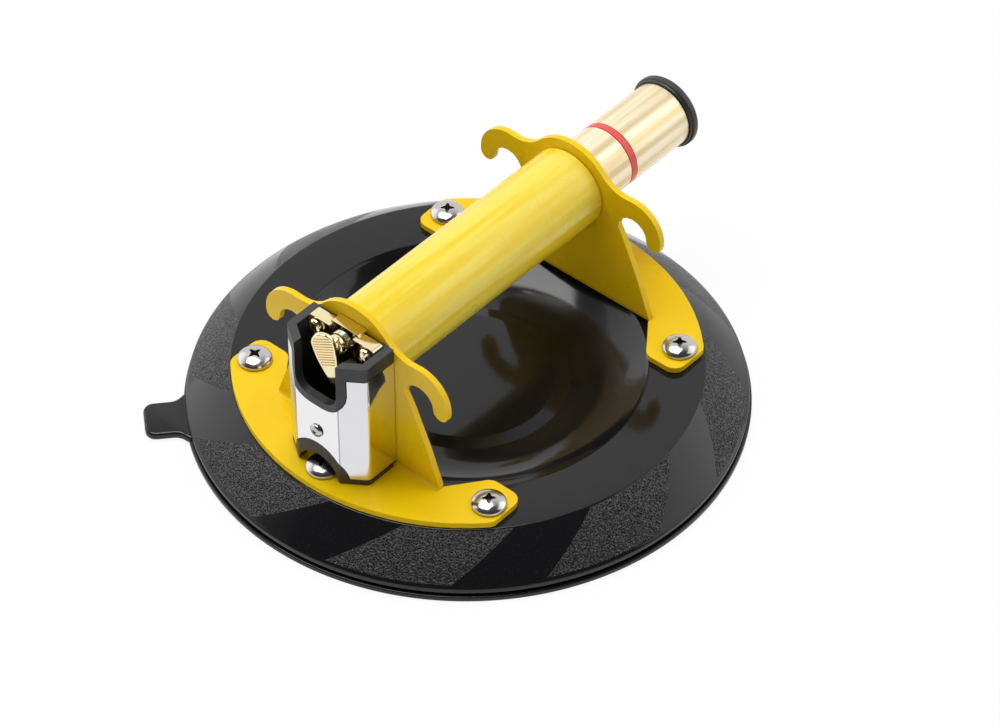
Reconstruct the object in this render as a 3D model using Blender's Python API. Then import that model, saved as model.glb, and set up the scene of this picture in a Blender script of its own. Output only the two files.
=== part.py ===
"""Hand-held pump suction cup: a vacuum pad with a tubular grip that holds a hand pump and a release valve.

The pad lies flat on the XY plane. The grip tube runs along X, with the pump plunger at +X and the
release valve, behind its guard, at -X. Lengths are in metres.
"""

import math

import bmesh
import bpy
from mathutils import Matrix, Vector

for old in list(bpy.data.objects):
    bpy.data.objects.remove(old, do_unlink=True)

MM = 0.001

# Clearances
SEAT_GAP = 0.3 * MM
RUNNING_GAP = 0.3 * MM
OVERSHOOT = 2.0 * MM

# Rubber pad
PAD_RADIUS = 101.5 * MM
LIP_WIDTH = 8.0 * MM
LIP_THICKNESS = 2.2 * MM
RIM_SETBACK = 3.5 * MM
RIM_HEIGHT = 5.8 * MM
RIM_GROOVE_DEPTH = 1.4 * MM
RIM_GROOVE_HEIGHT = 1.0 * MM
CHAMBER_HEIGHT = 5.2 * MM
SEAT_HEIGHT = 17.8 * MM
SEAT_MARGIN = 0.3 * MM
SEAT_WIDTH = 20.9 * MM
SEAT_RIDGE_HEIGHT = 0.3 * MM
BOWL_FLOOR_HEIGHT = 9.2 * MM
BOWL_WALL_REACH = 22.4 * MM
CENTRE_DISC_MARGIN = 9.5 * MM
CENTRE_DISC_RISE = 1.2 * MM
TAB_ANGLE = 138.7
TAB_REACH = 116.0 * MM
TAB_WIDTH = 16.5 * MM
TAB_THICKNESS = 3.0 * MM
TAB_CORNER = 4.0 * MM
TAB_FLARE = 3.5 * MM
TAB_FLARE_RADIUS = 5.0 * MM
TAB_BORDER = 1.6 * MM
TAB_BORDER_RISE = 0.6 * MM

# Steel ring moulded into the pad
RING_WIDTH = 12.5 * MM
RING_THICKNESS = 3.0 * MM
RING_COVER = 2.6 * MM

# Pan-head screws that hold the brackets to the pad
SCREW_SETBACK = 8.7 * MM
SCREW_ANGLE = 46.9
SCREW_SHANK_RADIUS = 3.0 * MM
SCREW_HEAD_RADIUS = 6.3 * MM
SCREW_HEAD_HEIGHT = 3.3 * MM
CROSS_REACH = 3.8 * MM
CROSS_WIDTH = 1.4 * MM
CROSS_DEPTH = 1.5 * MM
CROSS_TURN = 7.0

# Grip tube and the two pressed steel brackets
GRIP_HEIGHT = 63.5 * MM
GRIP_RADIUS = 15.4 * MM
GRIP_WALL = 1.0 * MM
UPRIGHT_SETBACK = 26.5 * MM
SHEET = 2.3 * MM
BEND_RADIUS = 1.6 * MM
FOOT_OUTER_RADIUS = 84.0 * MM
LOBE_BEYOND_SCREW = 6.8 * MM
LOBE_BEHIND_SCREW = 10.1 * MM
LOBE_BELOW_SCREW = 7.0 * MM
FOOT_CLIP = 2.0 * MM
FOOT_CORNER = 4.5 * MM
DOME_RADIUS = 19.4 * MM
VALLEY_RADIUS = 14.0 * MM
HOOK_CENTRE = (29.0 * MM, -4.6 * MM)
HOOK_RADIUS = 12.8 * MM
HOOK_WIDTH = 6.3 * MM
HOOK_TIP_DROP = 1.6 * MM
WAIST_DROP = 11.5 * MM
WAIST_HALF_WIDTH = 25.4 * MM
NECK_HALF_WIDTH = 32.2 * MM
NECK_DROP = 27.0 * MM
BASE_HALF_WIDTH = 37.5 * MM

# Pump: barrel in the grip, plunger in the barrel
BARREL_WALL = 0.6 * MM
BARREL_END_WALL = 2.5 * MM
BUSH_LENGTH = 7.0 * MM
PLUNGER_RADIUS = 12.7 * MM
PLUNGER_WALL = 1.3 * MM
PLUNGER_OUT = 49.5 * MM
BAND_SETOUT = 17.5 * MM
BAND_WIDTH = 2.6 * MM
BAND_GROOVE = 0.7 * MM
CAP_RADIUS = 14.3 * MM
CAP_LENGTH = 4.0 * MM
CAP_PLUG_LENGTH = 8.0 * MM
PISTON_LENGTH = 9.0 * MM
PISTON_GROOVE = 2.6 * MM
PISTON_SEAL_WIDTH = 3.0 * MM
PUMP_SPRING_RADIUS = 10.3 * MM
PUMP_SPRING_WIRE = 0.7 * MM
PUMP_SPRING_TURNS = 9

# Valve body: brass block on the outside of the valve-end bracket
VALVE_RISE = 9.0 * MM
BLOCK_THICKNESS = 4.3 * MM
BLOCK_HALF_WIDTH = 6.3 * MM
BLOCK_TOP = 13.4 * MM
BLOCK_BOTTOM = 12.0 * MM
EAR_HALF_WIDTH = 14.8 * MM
EAR_THICKNESS = 4.6 * MM
EAR_STEP = 2.0 * MM
EAR_HALF_HEIGHT = 3.7 * MM
EAR_SCREW_Y = 11.4 * MM
EAR_SCREW_RADIUS = 1.6 * MM
EAR_SCREW_HEAD = 2.9 * MM
SPIGOT_RADIUS = 9.2 * MM
SPIGOT_LENGTH = 4.5 * MM
PORT_RADIUS = 1.6 * MM
STEM_RADIUS = 1.2 * MM
STEM_CLEARANCE = 1.4 * MM
STEM_HEAD_RADIUS = 3.2 * MM
STEM_HEAD_THICKNESS = 1.0 * MM
SEAL_THICKNESS = 0.9 * MM
SEAL_RADIUS = 3.5 * MM
VALVE_POCKET_DEPTH = 2.9 * MM
STEM_HEAD_LIFT = 0.4 * MM
VALVE_SPRING_RADIUS = 3.6 * MM
VALVE_SPRING_WIRE = 0.4 * MM
VALVE_SPRING_LENGTH = 2.8 * MM
VALVE_SPRING_TURNS = 3
FLAP_RADIUS = 4.2 * MM
FLAP_THICKNESS = 1.0 * MM
FLAP_STEM_LENGTH = 2.5 * MM

# Release lever
HUB_RADIUS = 3.8 * MM
HUB_LENGTH = 5.4 * MM
LEAF_LENGTH = 23.0 * MM
LEAF_WIDTH = 8.4 * MM
LEAF_THICKNESS = 1.8 * MM
LEAF_TURN = 24.0
LEAF_LEAN = 12.0
LEAF_DROP = 3.4 * MM
LEAF_RIM = 0.8 * MM
RIDGE_COUNT = 9
RIDGE_PITCH = 1.5 * MM
RIDGE_HEIGHT = 0.5 * MM

# Hose from the pad up to the valve body
HOSE_SETOUT = 6.4 * MM
HOSE_RADIUS = 3.4 * MM
HOSE_BORE = 2.0 * MM
BARB_LENGTH = 6.0 * MM
BARB_LEAD = 0.3 * MM
BARB_LEAD_LENGTH = 1.5 * MM
BOSS_RADIUS = 4.4 * MM
BOSS_TOP_RADIUS = 2.4 * MM
BOSS_CONE = 3.7 * MM
BOSS_CONE_DROP = 3.2 * MM
TAIL_DROP = 2.0 * MM
CROSS_DUCT_DROP = 7.0 * MM
DUCT_COVER = 1.0 * MM
FITTING_FLANGE_RADIUS = 4.4 * MM
FITTING_FLANGE = 1.2 * MM
FITTING_STEM_RADIUS = 3.0 * MM
FITTING_RECESS = 0.5 * MM
CLIP_WIDTH = 3.0 * MM
CLIP_SETBACK = 1.2 * MM
CLIP_THICKNESS = 0.7 * MM

# Guard: bright steel cover over a black plastic liner
GUARD_HALF_WIDTH = 18.2 * MM
GUARD_FRONT_HALF_WIDTH = 9.5 * MM
GUARD_CORNER_REACH = 14.0 * MM
GUARD_FRONT_REACH = 20.0 * MM
GUARD_CORNER_RADIUS = 2.2 * MM
COVER_THICKNESS = 0.9 * MM
LINER_WALL = 1.9 * MM
LINER_TOP = 75.0 * MM
COVER_TOP = 69.0 * MM
BASE_STRIP = 2.0 * MM
NOTCH_FLOOR = 51.8 * MM
NOTCH_HALF_WIDTH = 12.6 * MM
NOTCH_RADIUS = 10.0 * MM
NOTCH_RIM = 3.2 * MM
LINER_NOTCH_RADIUS = 6.2 * MM
ARCH_HALF_WIDTH = 12.8 * MM
ARCH_RIM = 3.4 * MM
ARCH_DROP = 2.0 * MM
ARCH_RISE = 0.9 * MM
GUARD_SCREW_HEIGHT = 40.2 * MM
GUARD_SCREW_HEAD = 2.6 * MM
GUARD_SCREW_SHANK = 1.0 * MM
GUARD_BOSS_RADIUS = 3.4 * MM
GUARD_BOSS_LENGTH = 3.5 * MM

PAD_SEGMENTS = 64
ROUND_SEGMENTS = 40
SMALL_SEGMENTS = 16
HOLE_PHASE = 0.37

# Sizes that follow from those above
SEAT_OUTER_RADIUS = FOOT_OUTER_RADIUS + SEAT_MARGIN
SEAT_INNER_RADIUS = SEAT_OUTER_RADIUS - SEAT_WIDTH
BOWL_FLOOR_RADIUS = SEAT_INNER_RADIUS - BOWL_WALL_REACH
CENTRE_DISC_RADIUS = BOWL_FLOOR_RADIUS - CENTRE_DISC_MARGIN
SCREW_CIRCLE = FOOT_OUTER_RADIUS - SCREW_SETBACK
RING_INNER_RADIUS = SCREW_CIRCLE - RING_WIDTH / 2
RING_OUTER_RADIUS = SCREW_CIRCLE + RING_WIDTH / 2
BRACKET_REACH = FOOT_OUTER_RADIUS - UPRIGHT_SETBACK
HOSE_X = BRACKET_REACH + HOSE_SETOUT
FOOT_UNDERSIDE = SEAT_HEIGHT + SEAT_GAP
FOOT_TOP = FOOT_UNDERSIDE + SHEET
RING_BOTTOM = CHAMBER_HEIGHT + RING_COVER
BARREL_OUTER = GRIP_RADIUS - GRIP_WALL - SEAT_GAP
BARREL_BORE = BARREL_OUTER - BARREL_WALL
GRIP_END = BRACKET_REACH - SHEET - SEAT_GAP
BARREL_END = GRIP_END - BUSH_LENGTH - SEAT_GAP
PISTON_RADIUS = BARREL_BORE - RUNNING_GAP
PISTON_FRONT = BARREL_END
CAP_START = BRACKET_REACH + PLUNGER_OUT
PLUNGER_END_X = CAP_START + CAP_LENGTH
BLOCK_FRONT = BRACKET_REACH + SEAT_GAP + BLOCK_THICKNESS
EAR_FRONT = BLOCK_FRONT + EAR_STEP
VALVE_HEIGHT = GRIP_HEIGHT + VALVE_RISE
FRAME_SHIFT = (PAD_RADIUS - PLUNGER_END_X) / 2

ALONG_X = Matrix.Rotation(math.radians(90), 4, "Y")


def material(name, colour, roughness, metallic=0.0):
    made = bpy.data.materials.new(name)
    made.use_nodes = True
    shader = made.node_tree.nodes["Principled BSDF"]
    shader.inputs["Base Color"].default_value = (*colour, 1.0)
    shader.inputs["Roughness"].default_value = roughness
    shader.inputs["Metallic"].default_value = metallic
    made.diffuse_color = (*colour, 1.0)
    return made


def arc(centre, radius, start, end, steps):
    """Points on an arc from one angle to another, in degrees, both ends included."""
    angles = [math.radians(start + (end - start) * i / steps) for i in range(steps + 1)]
    return [(centre[0] + radius * math.cos(a), centre[1] + radius * math.sin(a)) for a in angles]


def rounded(corners, steps=4):
    """A closed outline from (x, y, radius) corners, each corner turned into an arc."""
    outline = []
    for i, (x, y, radius) in enumerate(corners):
        here = Vector((x, y))
        if radius == 0:
            outline.append((x, y))
            continue
        back = (Vector(corners[i - 1][:2]) - here).normalized()
        ahead = (Vector(corners[(i + 1) % len(corners)][:2]) - here).normalized()
        half = back.angle(ahead) / 2
        centre = here + (back + ahead).normalized() * (radius / math.sin(half))
        first = here + back * (radius / math.tan(half)) - centre
        last = here + ahead * (radius / math.tan(half)) - centre
        turn = first.angle_signed(last)
        for k in range(steps + 1):
            spoke = Matrix.Rotation(-turn * k / steps, 2) @ first
            outline.append(tuple(centre + spoke))
    return outline


def offset_path(points, distance):
    """The open path moved sideways to its left by a distance, with mitred corners."""
    moved = []
    for i, point in enumerate(points):
        here = Vector(point)
        before = Vector(points[i - 1]) if i > 0 else None
        after = Vector(points[i + 1]) if i + 1 < len(points) else None
        ways = []
        if before is not None:
            ways.append((here - before).normalized())
        if after is not None:
            ways.append((after - here).normalized())
        sides = [Vector((-way.y, way.x)) for way in ways]
        middle = sum(sides, Vector((0.0, 0.0))).normalized()
        moved.append(tuple(here + middle * (distance / middle.dot(sides[0]))))
    return moved


def face_out(shape):
    """Turns all faces of a closed shape outwards. The volume settles it for small, hollow outlines."""
    bmesh.ops.recalc_face_normals(shape, faces=shape.faces)
    if shape.calc_volume(signed=True) < 0:
        bmesh.ops.reverse_faces(shape, faces=shape.faces)


def closed_mesh(rings, cap_ends):
    """Joins rings of points into one skin. A ring of one point is a pole."""
    shape = bmesh.new()
    rows = [[shape.verts.new(point) for point in ring] for ring in rings]
    pairs = list(zip(rows, rows[1:]))
    if not cap_ends:
        pairs.append((rows[-1], rows[0]))
    for low, high in pairs:
        count = max(len(low), len(high))
        for i in range(count):
            j = (i + 1) % count
            if len(low) == 1:
                shape.faces.new((low[0], high[i], high[j]))
            elif len(high) == 1:
                shape.faces.new((low[i], high[0], low[j]))
            else:
                shape.faces.new((low[i], high[i], high[j], low[j]))
    if cap_ends:
        for row in (rows[0], rows[-1]):
            if len(row) > 2:
                shape.faces.new(row)
    face_out(shape)
    return shape


def turned(profile, steps=ROUND_SEGMENTS, closed=False, phase=0.0):
    """Turns a profile of (radius, height) points about Z. Closed is for a ring's section."""
    rings = []
    for radius, height in profile:
        if radius < 1e-7:
            rings.append([(0.0, 0.0, height)])
            continue
        angles = [math.tau * (i + phase) / steps for i in range(steps)]
        rings.append([(radius * math.cos(a), radius * math.sin(a), height) for a in angles])
    return closed_mesh(rings, not closed)


def rod(radius, low, high, steps=SMALL_SEGMENTS):
    """A plain cylinder, turned a little so that its corners keep off the seams of what it cuts."""
    return turned([(0, low), (radius, low), (radius, high), (0, high)], steps, phase=HOLE_PHASE)


def sleeve(outer, inner, low, high, steps=ROUND_SEGMENTS):
    return turned([(outer, high), (outer, low), (inner, low), (inner, high)], steps, True)


def prism(outline, low, high, plane="XY"):
    """Extrudes an outline. XY goes up Z, YZ goes along X and XZ goes along Y."""
    place = {
        "XY": lambda a, b, h: (a, b, h),
        "YZ": lambda a, b, h: (h, a, b),
        "XZ": lambda a, b, h: (a, h, b),
    }[plane]
    rings = [[place(a, b, h) for a, b in outline] for h in (low, high)]
    return closed_mesh(rings, True)


def coil(radius, wire, low, high, turns, per_turn=10, sides=5):
    """A helical spring about Z with its ends closed by flat caps."""
    total = turns * per_turn
    rise = (high - low - 2 * wire) / total
    rings = []
    for i in range(total + 1):
        turn = math.tau * i / per_turn
        outward = Vector((math.cos(turn), math.sin(turn), 0))
        centre = outward * radius + Vector((0, 0, low + wire + rise * i))
        ring = []
        for k in range(sides):
            spoke = math.tau * k / sides
            ring.append(centre + wire * (outward * math.cos(spoke) + Vector((0, 0, math.sin(spoke)))))
        rings.append(ring)
    return closed_mesh(rings, True)


def pan_head(radius, height, shank_radius, shank_length, steps=SMALL_SEGMENTS):
    """A pan-head screw about Z, its head's underside at zero and its shank below."""
    edge = height * 0.35
    profile = [(0, -shank_length), (shank_radius * 0.7, -shank_length)]
    profile += [(shank_radius, shank_radius * 0.3 - shank_length), (shank_radius, 0), (radius, 0)]
    profile.append((radius, edge))
    for i in range(1, 4):
        angle = math.radians(90 * i / 3)
        profile.append((radius * math.cos(angle), edge + (height - edge) * math.sin(angle)))
    return turned(profile[:-1] + [(0, height)], steps)


def cross_recess(reach, width, floor, top):
    """The two crossed slots of a cross-head recess, tapering to its floor."""
    outline = []
    half = width / 2
    for quarter in range(4):
        turn = Matrix.Rotation(math.radians(-90 * quarter), 2)
        for point in ((half, half), (reach, half), (reach, -half)):
            outline.append(tuple(turn @ Vector(point)))
    shape = prism(outline, floor, top)
    for vertex in shape.verts:
        if abs(vertex.co.z - floor) < 1e-9:
            vertex.co.x *= 0.6
            vertex.co.y *= 0.6
    return shape


def moved(shape, place):
    shape.transform(place)
    face_out(shape)
    return shape


def add_object(name, shape, finish=None, origin=(0, 0, 0), parent=None):
    """Makes an object of a shape built in the assembly's frame, with its origin where it's wanted."""
    shape.transform(Matrix.Translation(-Vector(origin)))
    mesh = bpy.data.meshes.new(name)
    shape.to_mesh(mesh)
    shape.free()
    made = bpy.data.objects.new(name, mesh)
    bpy.context.scene.collection.objects.link(made)
    carrier = parent or assembly
    made.parent = carrier
    made.location = Vector(origin) - (carrier.location if carrier is not assembly else Vector())
    if finish:
        mesh.materials.append(finish)
        mesh.shade_smooth()
        mesh.set_sharp_from_angle(angle=math.radians(35))
    return made


def add_cutter(name, shape):
    made = add_object(name, shape)
    made.hide_render = True
    made.display_type = "WIRE"
    return made


def boolean(target, name, shape, operation="DIFFERENCE"):
    """Cuts a shape from the target, or joins it on. The shape may be an object or a bmesh."""
    tool = shape if isinstance(shape, bpy.types.Object) else add_cutter(name, shape)
    step = target.modifiers.new(name, "BOOLEAN")
    step.object = tool
    step.operation = operation
    return tool


def empty(name, place, parent=None):
    made = bpy.data.objects.new(name, None)
    bpy.context.scene.collection.objects.link(made)
    made.parent = parent
    made.location = place
    return made


# The frame's origin is on the floor below the middle of the whole object.
assembly = empty("assembly", (FRAME_SHIFT, 0, 0))

black_rubber = material("black_rubber", (0.022, 0.022, 0.024), 0.45)
yellow_coat = material("yellow_coat", (0.85, 0.60, 0.02), 0.3)
bright_brass = material("bright_brass", (0.86, 0.68, 0.36), 0.2, 1.0)
bright_steel = material("bright_steel", (0.75, 0.75, 0.76), 0.15, 1.0)
black_plastic = material("black_plastic", (0.03, 0.03, 0.032), 0.5)
red_band = material("red_band", (0.75, 0.03, 0.04), 0.4)
pale_plastic = material("pale_plastic", (0.8, 0.79, 0.75), 0.4)
soft_rubber = material("soft_rubber", (0.05, 0.05, 0.055), 0.6)

screw_places = {}
for end, way in (("valve", -1), ("plunger", 1)):
    for side, angle in (("left", SCREW_ANGLE), ("middle", 0), ("right", -SCREW_ANGLE)):
        turn = math.radians(angle)
        place = (way * SCREW_CIRCLE * math.cos(turn), SCREW_CIRCLE * math.sin(turn))
        screw_places[f"{end}_{side}"] = place

# Rubber pad: a moulded disc with a sealing lip, a raised ring for the brackets and a pull tab.
rim_radius = PAD_RADIUS - RIM_SETBACK
pad_profile = [
    (PAD_RADIUS - 0.6 * MM, 0),
    (PAD_RADIUS, 0.6 * MM),
    (PAD_RADIUS, LIP_THICKNESS - 0.4 * MM),
    (PAD_RADIUS - 0.4 * MM, LIP_THICKNESS),
    (rim_radius - RIM_GROOVE_DEPTH, LIP_THICKNESS),
    (rim_radius - RIM_GROOVE_DEPTH, LIP_THICKNESS + RIM_GROOVE_HEIGHT),
    (rim_radius, LIP_THICKNESS + RIM_GROOVE_HEIGHT),
    (rim_radius, RIM_HEIGHT - 0.6 * MM),
    (rim_radius - 0.8 * MM, RIM_HEIGHT),
]
fall = SEAT_HEIGHT - RIM_HEIGHT
for i in range(1, 4):
    share = i / 4
    radius = rim_radius - 0.8 * MM - (rim_radius - 0.8 * MM - SEAT_OUTER_RADIUS) * share
    pad_profile.append((radius, RIM_HEIGHT + fall * math.sin(share * math.pi / 2)))
pad_profile += [
    (SEAT_OUTER_RADIUS, SEAT_HEIGHT + SEAT_RIDGE_HEIGHT),
    (SEAT_OUTER_RADIUS - 0.6 * MM, SEAT_HEIGHT),
    (SEAT_INNER_RADIUS + 1.0 * MM, SEAT_HEIGHT),
    (SEAT_INNER_RADIUS, SEAT_HEIGHT - 0.8 * MM),
]
bowl_drop = SEAT_HEIGHT - 0.8 * MM - BOWL_FLOOR_HEIGHT
for i in range(1, 5):
    share = i / 4
    radius = SEAT_INNER_RADIUS - (SEAT_INNER_RADIUS - BOWL_FLOOR_RADIUS) * share
    pad_profile.append((radius, BOWL_FLOOR_HEIGHT + bowl_drop * (1 - share) ** 2))
disc_top = BOWL_FLOOR_HEIGHT + CENTRE_DISC_RISE
pad_profile += [
    (CENTRE_DISC_RADIUS + 3.0 * MM, BOWL_FLOOR_HEIGHT),
    (CENTRE_DISC_RADIUS, disc_top),
    (0, disc_top),
    (0, CHAMBER_HEIGHT),
    (SEAT_OUTER_RADIUS - 4.0 * MM, CHAMBER_HEIGHT),
    (PAD_RADIUS - LIP_WIDTH - 4.5 * MM, CHAMBER_HEIGHT * 0.6),
    (PAD_RADIUS - LIP_WIDTH, 0),
]
centre_at = pad_profile.index((0, disc_top))
pad_profile = pad_profile[centre_at + 1:] + pad_profile[:centre_at + 1]
rubber_pad = add_object("rubber_pad", turned(pad_profile, PAD_SEGMENTS), black_rubber)

tab_start = rim_radius - 4 * MM
tab_half = TAB_WIDTH / 2
tab_foot = tab_half + TAB_FLARE
tab_edge = math.sqrt((PAD_RADIUS - SEAT_GAP) ** 2 - tab_foot**2)
tab_corners = [
    (tab_start, -tab_foot, 0),
    (tab_edge, -tab_foot, 0),
    (tab_edge + TAB_FLARE, -tab_half, TAB_FLARE_RADIUS),
    (TAB_REACH, -tab_half, TAB_CORNER),
    (TAB_REACH, tab_half, TAB_CORNER),
    (tab_edge + TAB_FLARE, tab_half, TAB_FLARE_RADIUS),
    (tab_edge, tab_foot, 0),
    (tab_start, tab_foot, 0),
]
tab_turn = Matrix.Rotation(math.radians(TAB_ANGLE), 4, "Z")
tab_low = 0.4 * MM
tab_top = tab_low + TAB_THICKNESS
tab = add_cutter("pull_tab", moved(prism(rounded(tab_corners), tab_low, tab_top + TAB_BORDER_RISE), tab_turn))
field_corners = [
    (PAD_RADIUS + TAB_BORDER, TAB_BORDER - tab_half, 1.0 * MM),
    (TAB_REACH - TAB_BORDER, TAB_BORDER - tab_half, TAB_CORNER - TAB_BORDER),
    (TAB_REACH - TAB_BORDER, tab_half - TAB_BORDER, TAB_CORNER - TAB_BORDER),
    (PAD_RADIUS + TAB_BORDER, tab_half - TAB_BORDER, 1.0 * MM),
]
field = moved(prism(rounded(field_corners), tab_top, tab_top + OVERSHOOT), tab_turn)
boolean(tab, "pull_tab_field", field)
boolean(rubber_pad, "pull_tab", tab, "UNION")

ring_room = sleeve(
    RING_OUTER_RADIUS + SEAT_GAP,
    RING_INNER_RADIUS - SEAT_GAP,
    RING_BOTTOM - SEAT_GAP,
    RING_BOTTOM + RING_THICKNESS + SEAT_GAP,
    PAD_SEGMENTS,
)
boolean(rubber_pad, "ring_room", ring_room)
screw_hole = SCREW_SHANK_RADIUS + SEAT_GAP
for name, (x, y) in screw_places.items():
    hole = rod(screw_hole, RING_BOTTOM + RING_THICKNESS / 2, SEAT_HEIGHT + OVERSHOOT, 16)
    boolean(rubber_pad, f"{name}_pad_hole", moved(hole, Matrix.Translation((x, y, 0))))
fitting_place = Matrix.Translation((-HOSE_X, 0, 0))
port = rod(FITTING_STEM_RADIUS + SEAT_GAP, CHAMBER_HEIGHT - OVERSHOOT, SEAT_HEIGHT + OVERSHOOT, 16)
boolean(rubber_pad, "pad_port", moved(port, fitting_place))

# Steel ring: moulded into the pad below the brackets, tapped for the six screws.
pad_ring = add_object(
    "pad_ring",
    sleeve(RING_OUTER_RADIUS, RING_INNER_RADIUS, RING_BOTTOM, RING_BOTTOM + RING_THICKNESS, PAD_SEGMENTS),
    bright_steel,
)
for name, (x, y) in screw_places.items():
    hole = rod(screw_hole, RING_BOTTOM - OVERSHOOT, RING_BOTTOM + RING_THICKNESS + OVERSHOOT, 16)
    boolean(pad_ring, f"{name}_ring_hole", moved(hole, Matrix.Translation((x, y, 0))))


def hook_outline():
    """One side of the bracket's upper edge, from the dome's top round the hook to the waist."""
    hook = Vector(HOOK_CENTRE)
    gap = hook.length
    to_dome = DOME_RADIUS + VALLEY_RADIUS
    to_hook = HOOK_RADIUS + VALLEY_RADIUS
    along = (to_dome**2 - to_hook**2 + gap**2) / (2 * gap)
    across = math.sqrt(to_dome**2 - along**2)
    unit = hook.normalized()
    valley = unit * along + Vector((-unit.y, unit.x)) * across
    dome_angle = math.degrees(math.atan2(valley.y, valley.x))
    hook_angle = math.degrees(math.atan2(valley.y - hook.y, valley.x - hook.x))
    tip_radius = HOOK_WIDTH / 2
    tip = (hook.x + HOOK_RADIUS - tip_radius, hook.y - HOOK_TIP_DROP)
    notch_radius = HOOK_RADIUS - HOOK_WIDTH
    notch = (hook.x, hook.y - HOOK_TIP_DROP)
    outline = arc((0, 0), DOME_RADIUS, 90, dome_angle, 8)
    outline += arc(valley, VALLEY_RADIUS, dome_angle + 180, hook_angle + 180, 5)
    outline += arc(hook, HOOK_RADIUS, hook_angle, 0, 10)
    outline += arc(tip, tip_radius, 0, -180, 6)
    outline += arc(notch, notch_radius, 0, 180, 8)[1:]
    return outline


def bracket_plate_outline():
    """The bracket's upright as (y, z), dome at the top and wide foot at the bottom."""
    side = hook_outline()
    side.append((WAIST_HALF_WIDTH, -WAIST_DROP))
    side.append((NECK_HALF_WIDTH, -NECK_DROP))
    side = [(y, GRIP_HEIGHT + z) for y, z in side]
    side.append((BASE_HALF_WIDTH, FOOT_TOP + BEND_RADIUS))
    other = [(-y, z) for y, z in side[1:]]
    return side + other[::-1]


def bracket_foot_outline():
    """The bracket's foot as (x, y) for the +X end, a crescent with a lobe round each end screw."""
    turn = math.radians(SCREW_ANGLE)
    screw_x = SCREW_CIRCLE * math.cos(turn)
    screw_y = SCREW_CIRCLE * math.sin(turn)
    half_width = screw_y + LOBE_BEYOND_SCREW
    edge = math.degrees(math.asin((half_width - FOOT_CLIP) / FOOT_OUTER_RADIUS))
    lobe = [
        (FOOT_OUTER_RADIUS * math.cos(math.radians(edge)) - FOOT_CLIP, half_width, FOOT_CORNER),
        (screw_x - LOBE_BEHIND_SCREW, half_width, FOOT_CORNER),
        (screw_x - LOBE_BEHIND_SCREW, screw_y - LOBE_BELOW_SCREW, FOOT_CORNER),
        (BRACKET_REACH - SHEET, BASE_HALF_WIDTH, 0),
    ]
    crescent = arc((0, 0), FOOT_OUTER_RADIUS, -edge, edge, 24)
    top = rounded([(crescent[-1][0], crescent[-1][1], 0)] + lobe)
    return crescent[:-1] + top + [(x, -y) for x, y in top[::-1]][:-1]


def add_bracket(name, way, bore_radius):
    """A pressed sheet bracket: upright with two hooks, bent outwards into the foot."""
    inner_face = BRACKET_REACH - SHEET
    foot = prism(bracket_foot_outline(), FOOT_UNDERSIDE, FOOT_TOP)
    upright = prism(bracket_plate_outline(), inner_face, BRACKET_REACH, "YZ")
    bend = BEND_RADIUS
    inner_bend = arc((BRACKET_REACH + bend, FOOT_TOP + bend), bend, 180, 270, 4)
    outer_bend = arc((BRACKET_REACH + bend, FOOT_TOP + bend), bend + SHEET, 270, 180, 6)
    web = prism(inner_bend + outer_bend, -BASE_HALF_WIDTH, BASE_HALF_WIDTH, "XZ")
    mirror = Matrix.Scale(way, 4, (1, 0, 0))
    bracket = add_object(name, moved(upright, mirror), yellow_coat)
    foot_tool = add_cutter(f"{name}_foot", moved(foot, mirror))
    under_bend = [
        (inner_face - OVERSHOOT, FOOT_UNDERSIDE - OVERSHOOT),
        (BRACKET_REACH + bend, FOOT_UNDERSIDE - OVERSHOOT),
        (BRACKET_REACH + bend, FOOT_TOP + bend),
        (inner_face - OVERSHOOT, FOOT_TOP + bend),
    ]
    strip = prism(under_bend, -BASE_HALF_WIDTH, BASE_HALF_WIDTH, "XZ")
    boolean(foot_tool, f"{name}_bend_room", moved(strip, mirror))
    boolean(bracket, f"{name}_web", moved(web, mirror), "UNION")
    boolean(bracket, f"{name}_foot_join", foot_tool, "UNION")
    bore = moved(rod(bore_radius, inner_face - OVERSHOOT, BRACKET_REACH + OVERSHOOT, ROUND_SEGMENTS), ALONG_X)
    bore = moved(bore, mirror @ Matrix.Translation((0, 0, GRIP_HEIGHT)))
    boolean(bracket, f"{name}_bore", bore)
    for place, (x, y) in screw_places.items():
        if x * way > 0:
            hole = rod(SCREW_SHANK_RADIUS + SEAT_GAP, FOOT_UNDERSIDE - OVERSHOOT, FOOT_TOP + OVERSHOOT, 16)
            boolean(bracket, f"{place}_foot_hole", moved(hole, Matrix.Translation((x, y, 0))))
    return bracket


valve_end_bracket = add_bracket("valve_end_bracket", -1, SPIGOT_RADIUS + SEAT_GAP)
plunger_end_bracket = add_bracket("plunger_end_bracket", 1, PLUNGER_RADIUS + 2 * RUNNING_GAP)
hose_hole = rod(FITTING_STEM_RADIUS + SEAT_GAP, FOOT_UNDERSIDE - OVERSHOOT, FOOT_TOP + OVERSHOOT, 16)
boolean(valve_end_bracket, "hose_hole", moved(hose_hole, fitting_place))

# Pad screws: cross-head pan screws through the feet into the moulded ring.
screw_seat = FOOT_TOP + SEAT_GAP
shank_length = screw_seat - RING_BOTTOM - SEAT_GAP
for name, (x, y) in screw_places.items():
    place = (x, y, screw_seat)
    body = pan_head(SCREW_HEAD_RADIUS, SCREW_HEAD_HEIGHT, SCREW_SHANK_RADIUS, shank_length)
    screw = add_object(f"pad_screw_{name}", moved(body, Matrix.Translation(place)), bright_steel, place)
    recess = cross_recess(CROSS_REACH, CROSS_WIDTH, SCREW_HEAD_HEIGHT - CROSS_DEPTH, SCREW_HEAD_HEIGHT + OVERSHOOT)
    turn = Matrix.Rotation(math.radians(x / MM * CROSS_TURN), 4, "Z")
    boolean(screw, f"{name}_cross", moved(recess, Matrix.Translation(place) @ turn))

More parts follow.
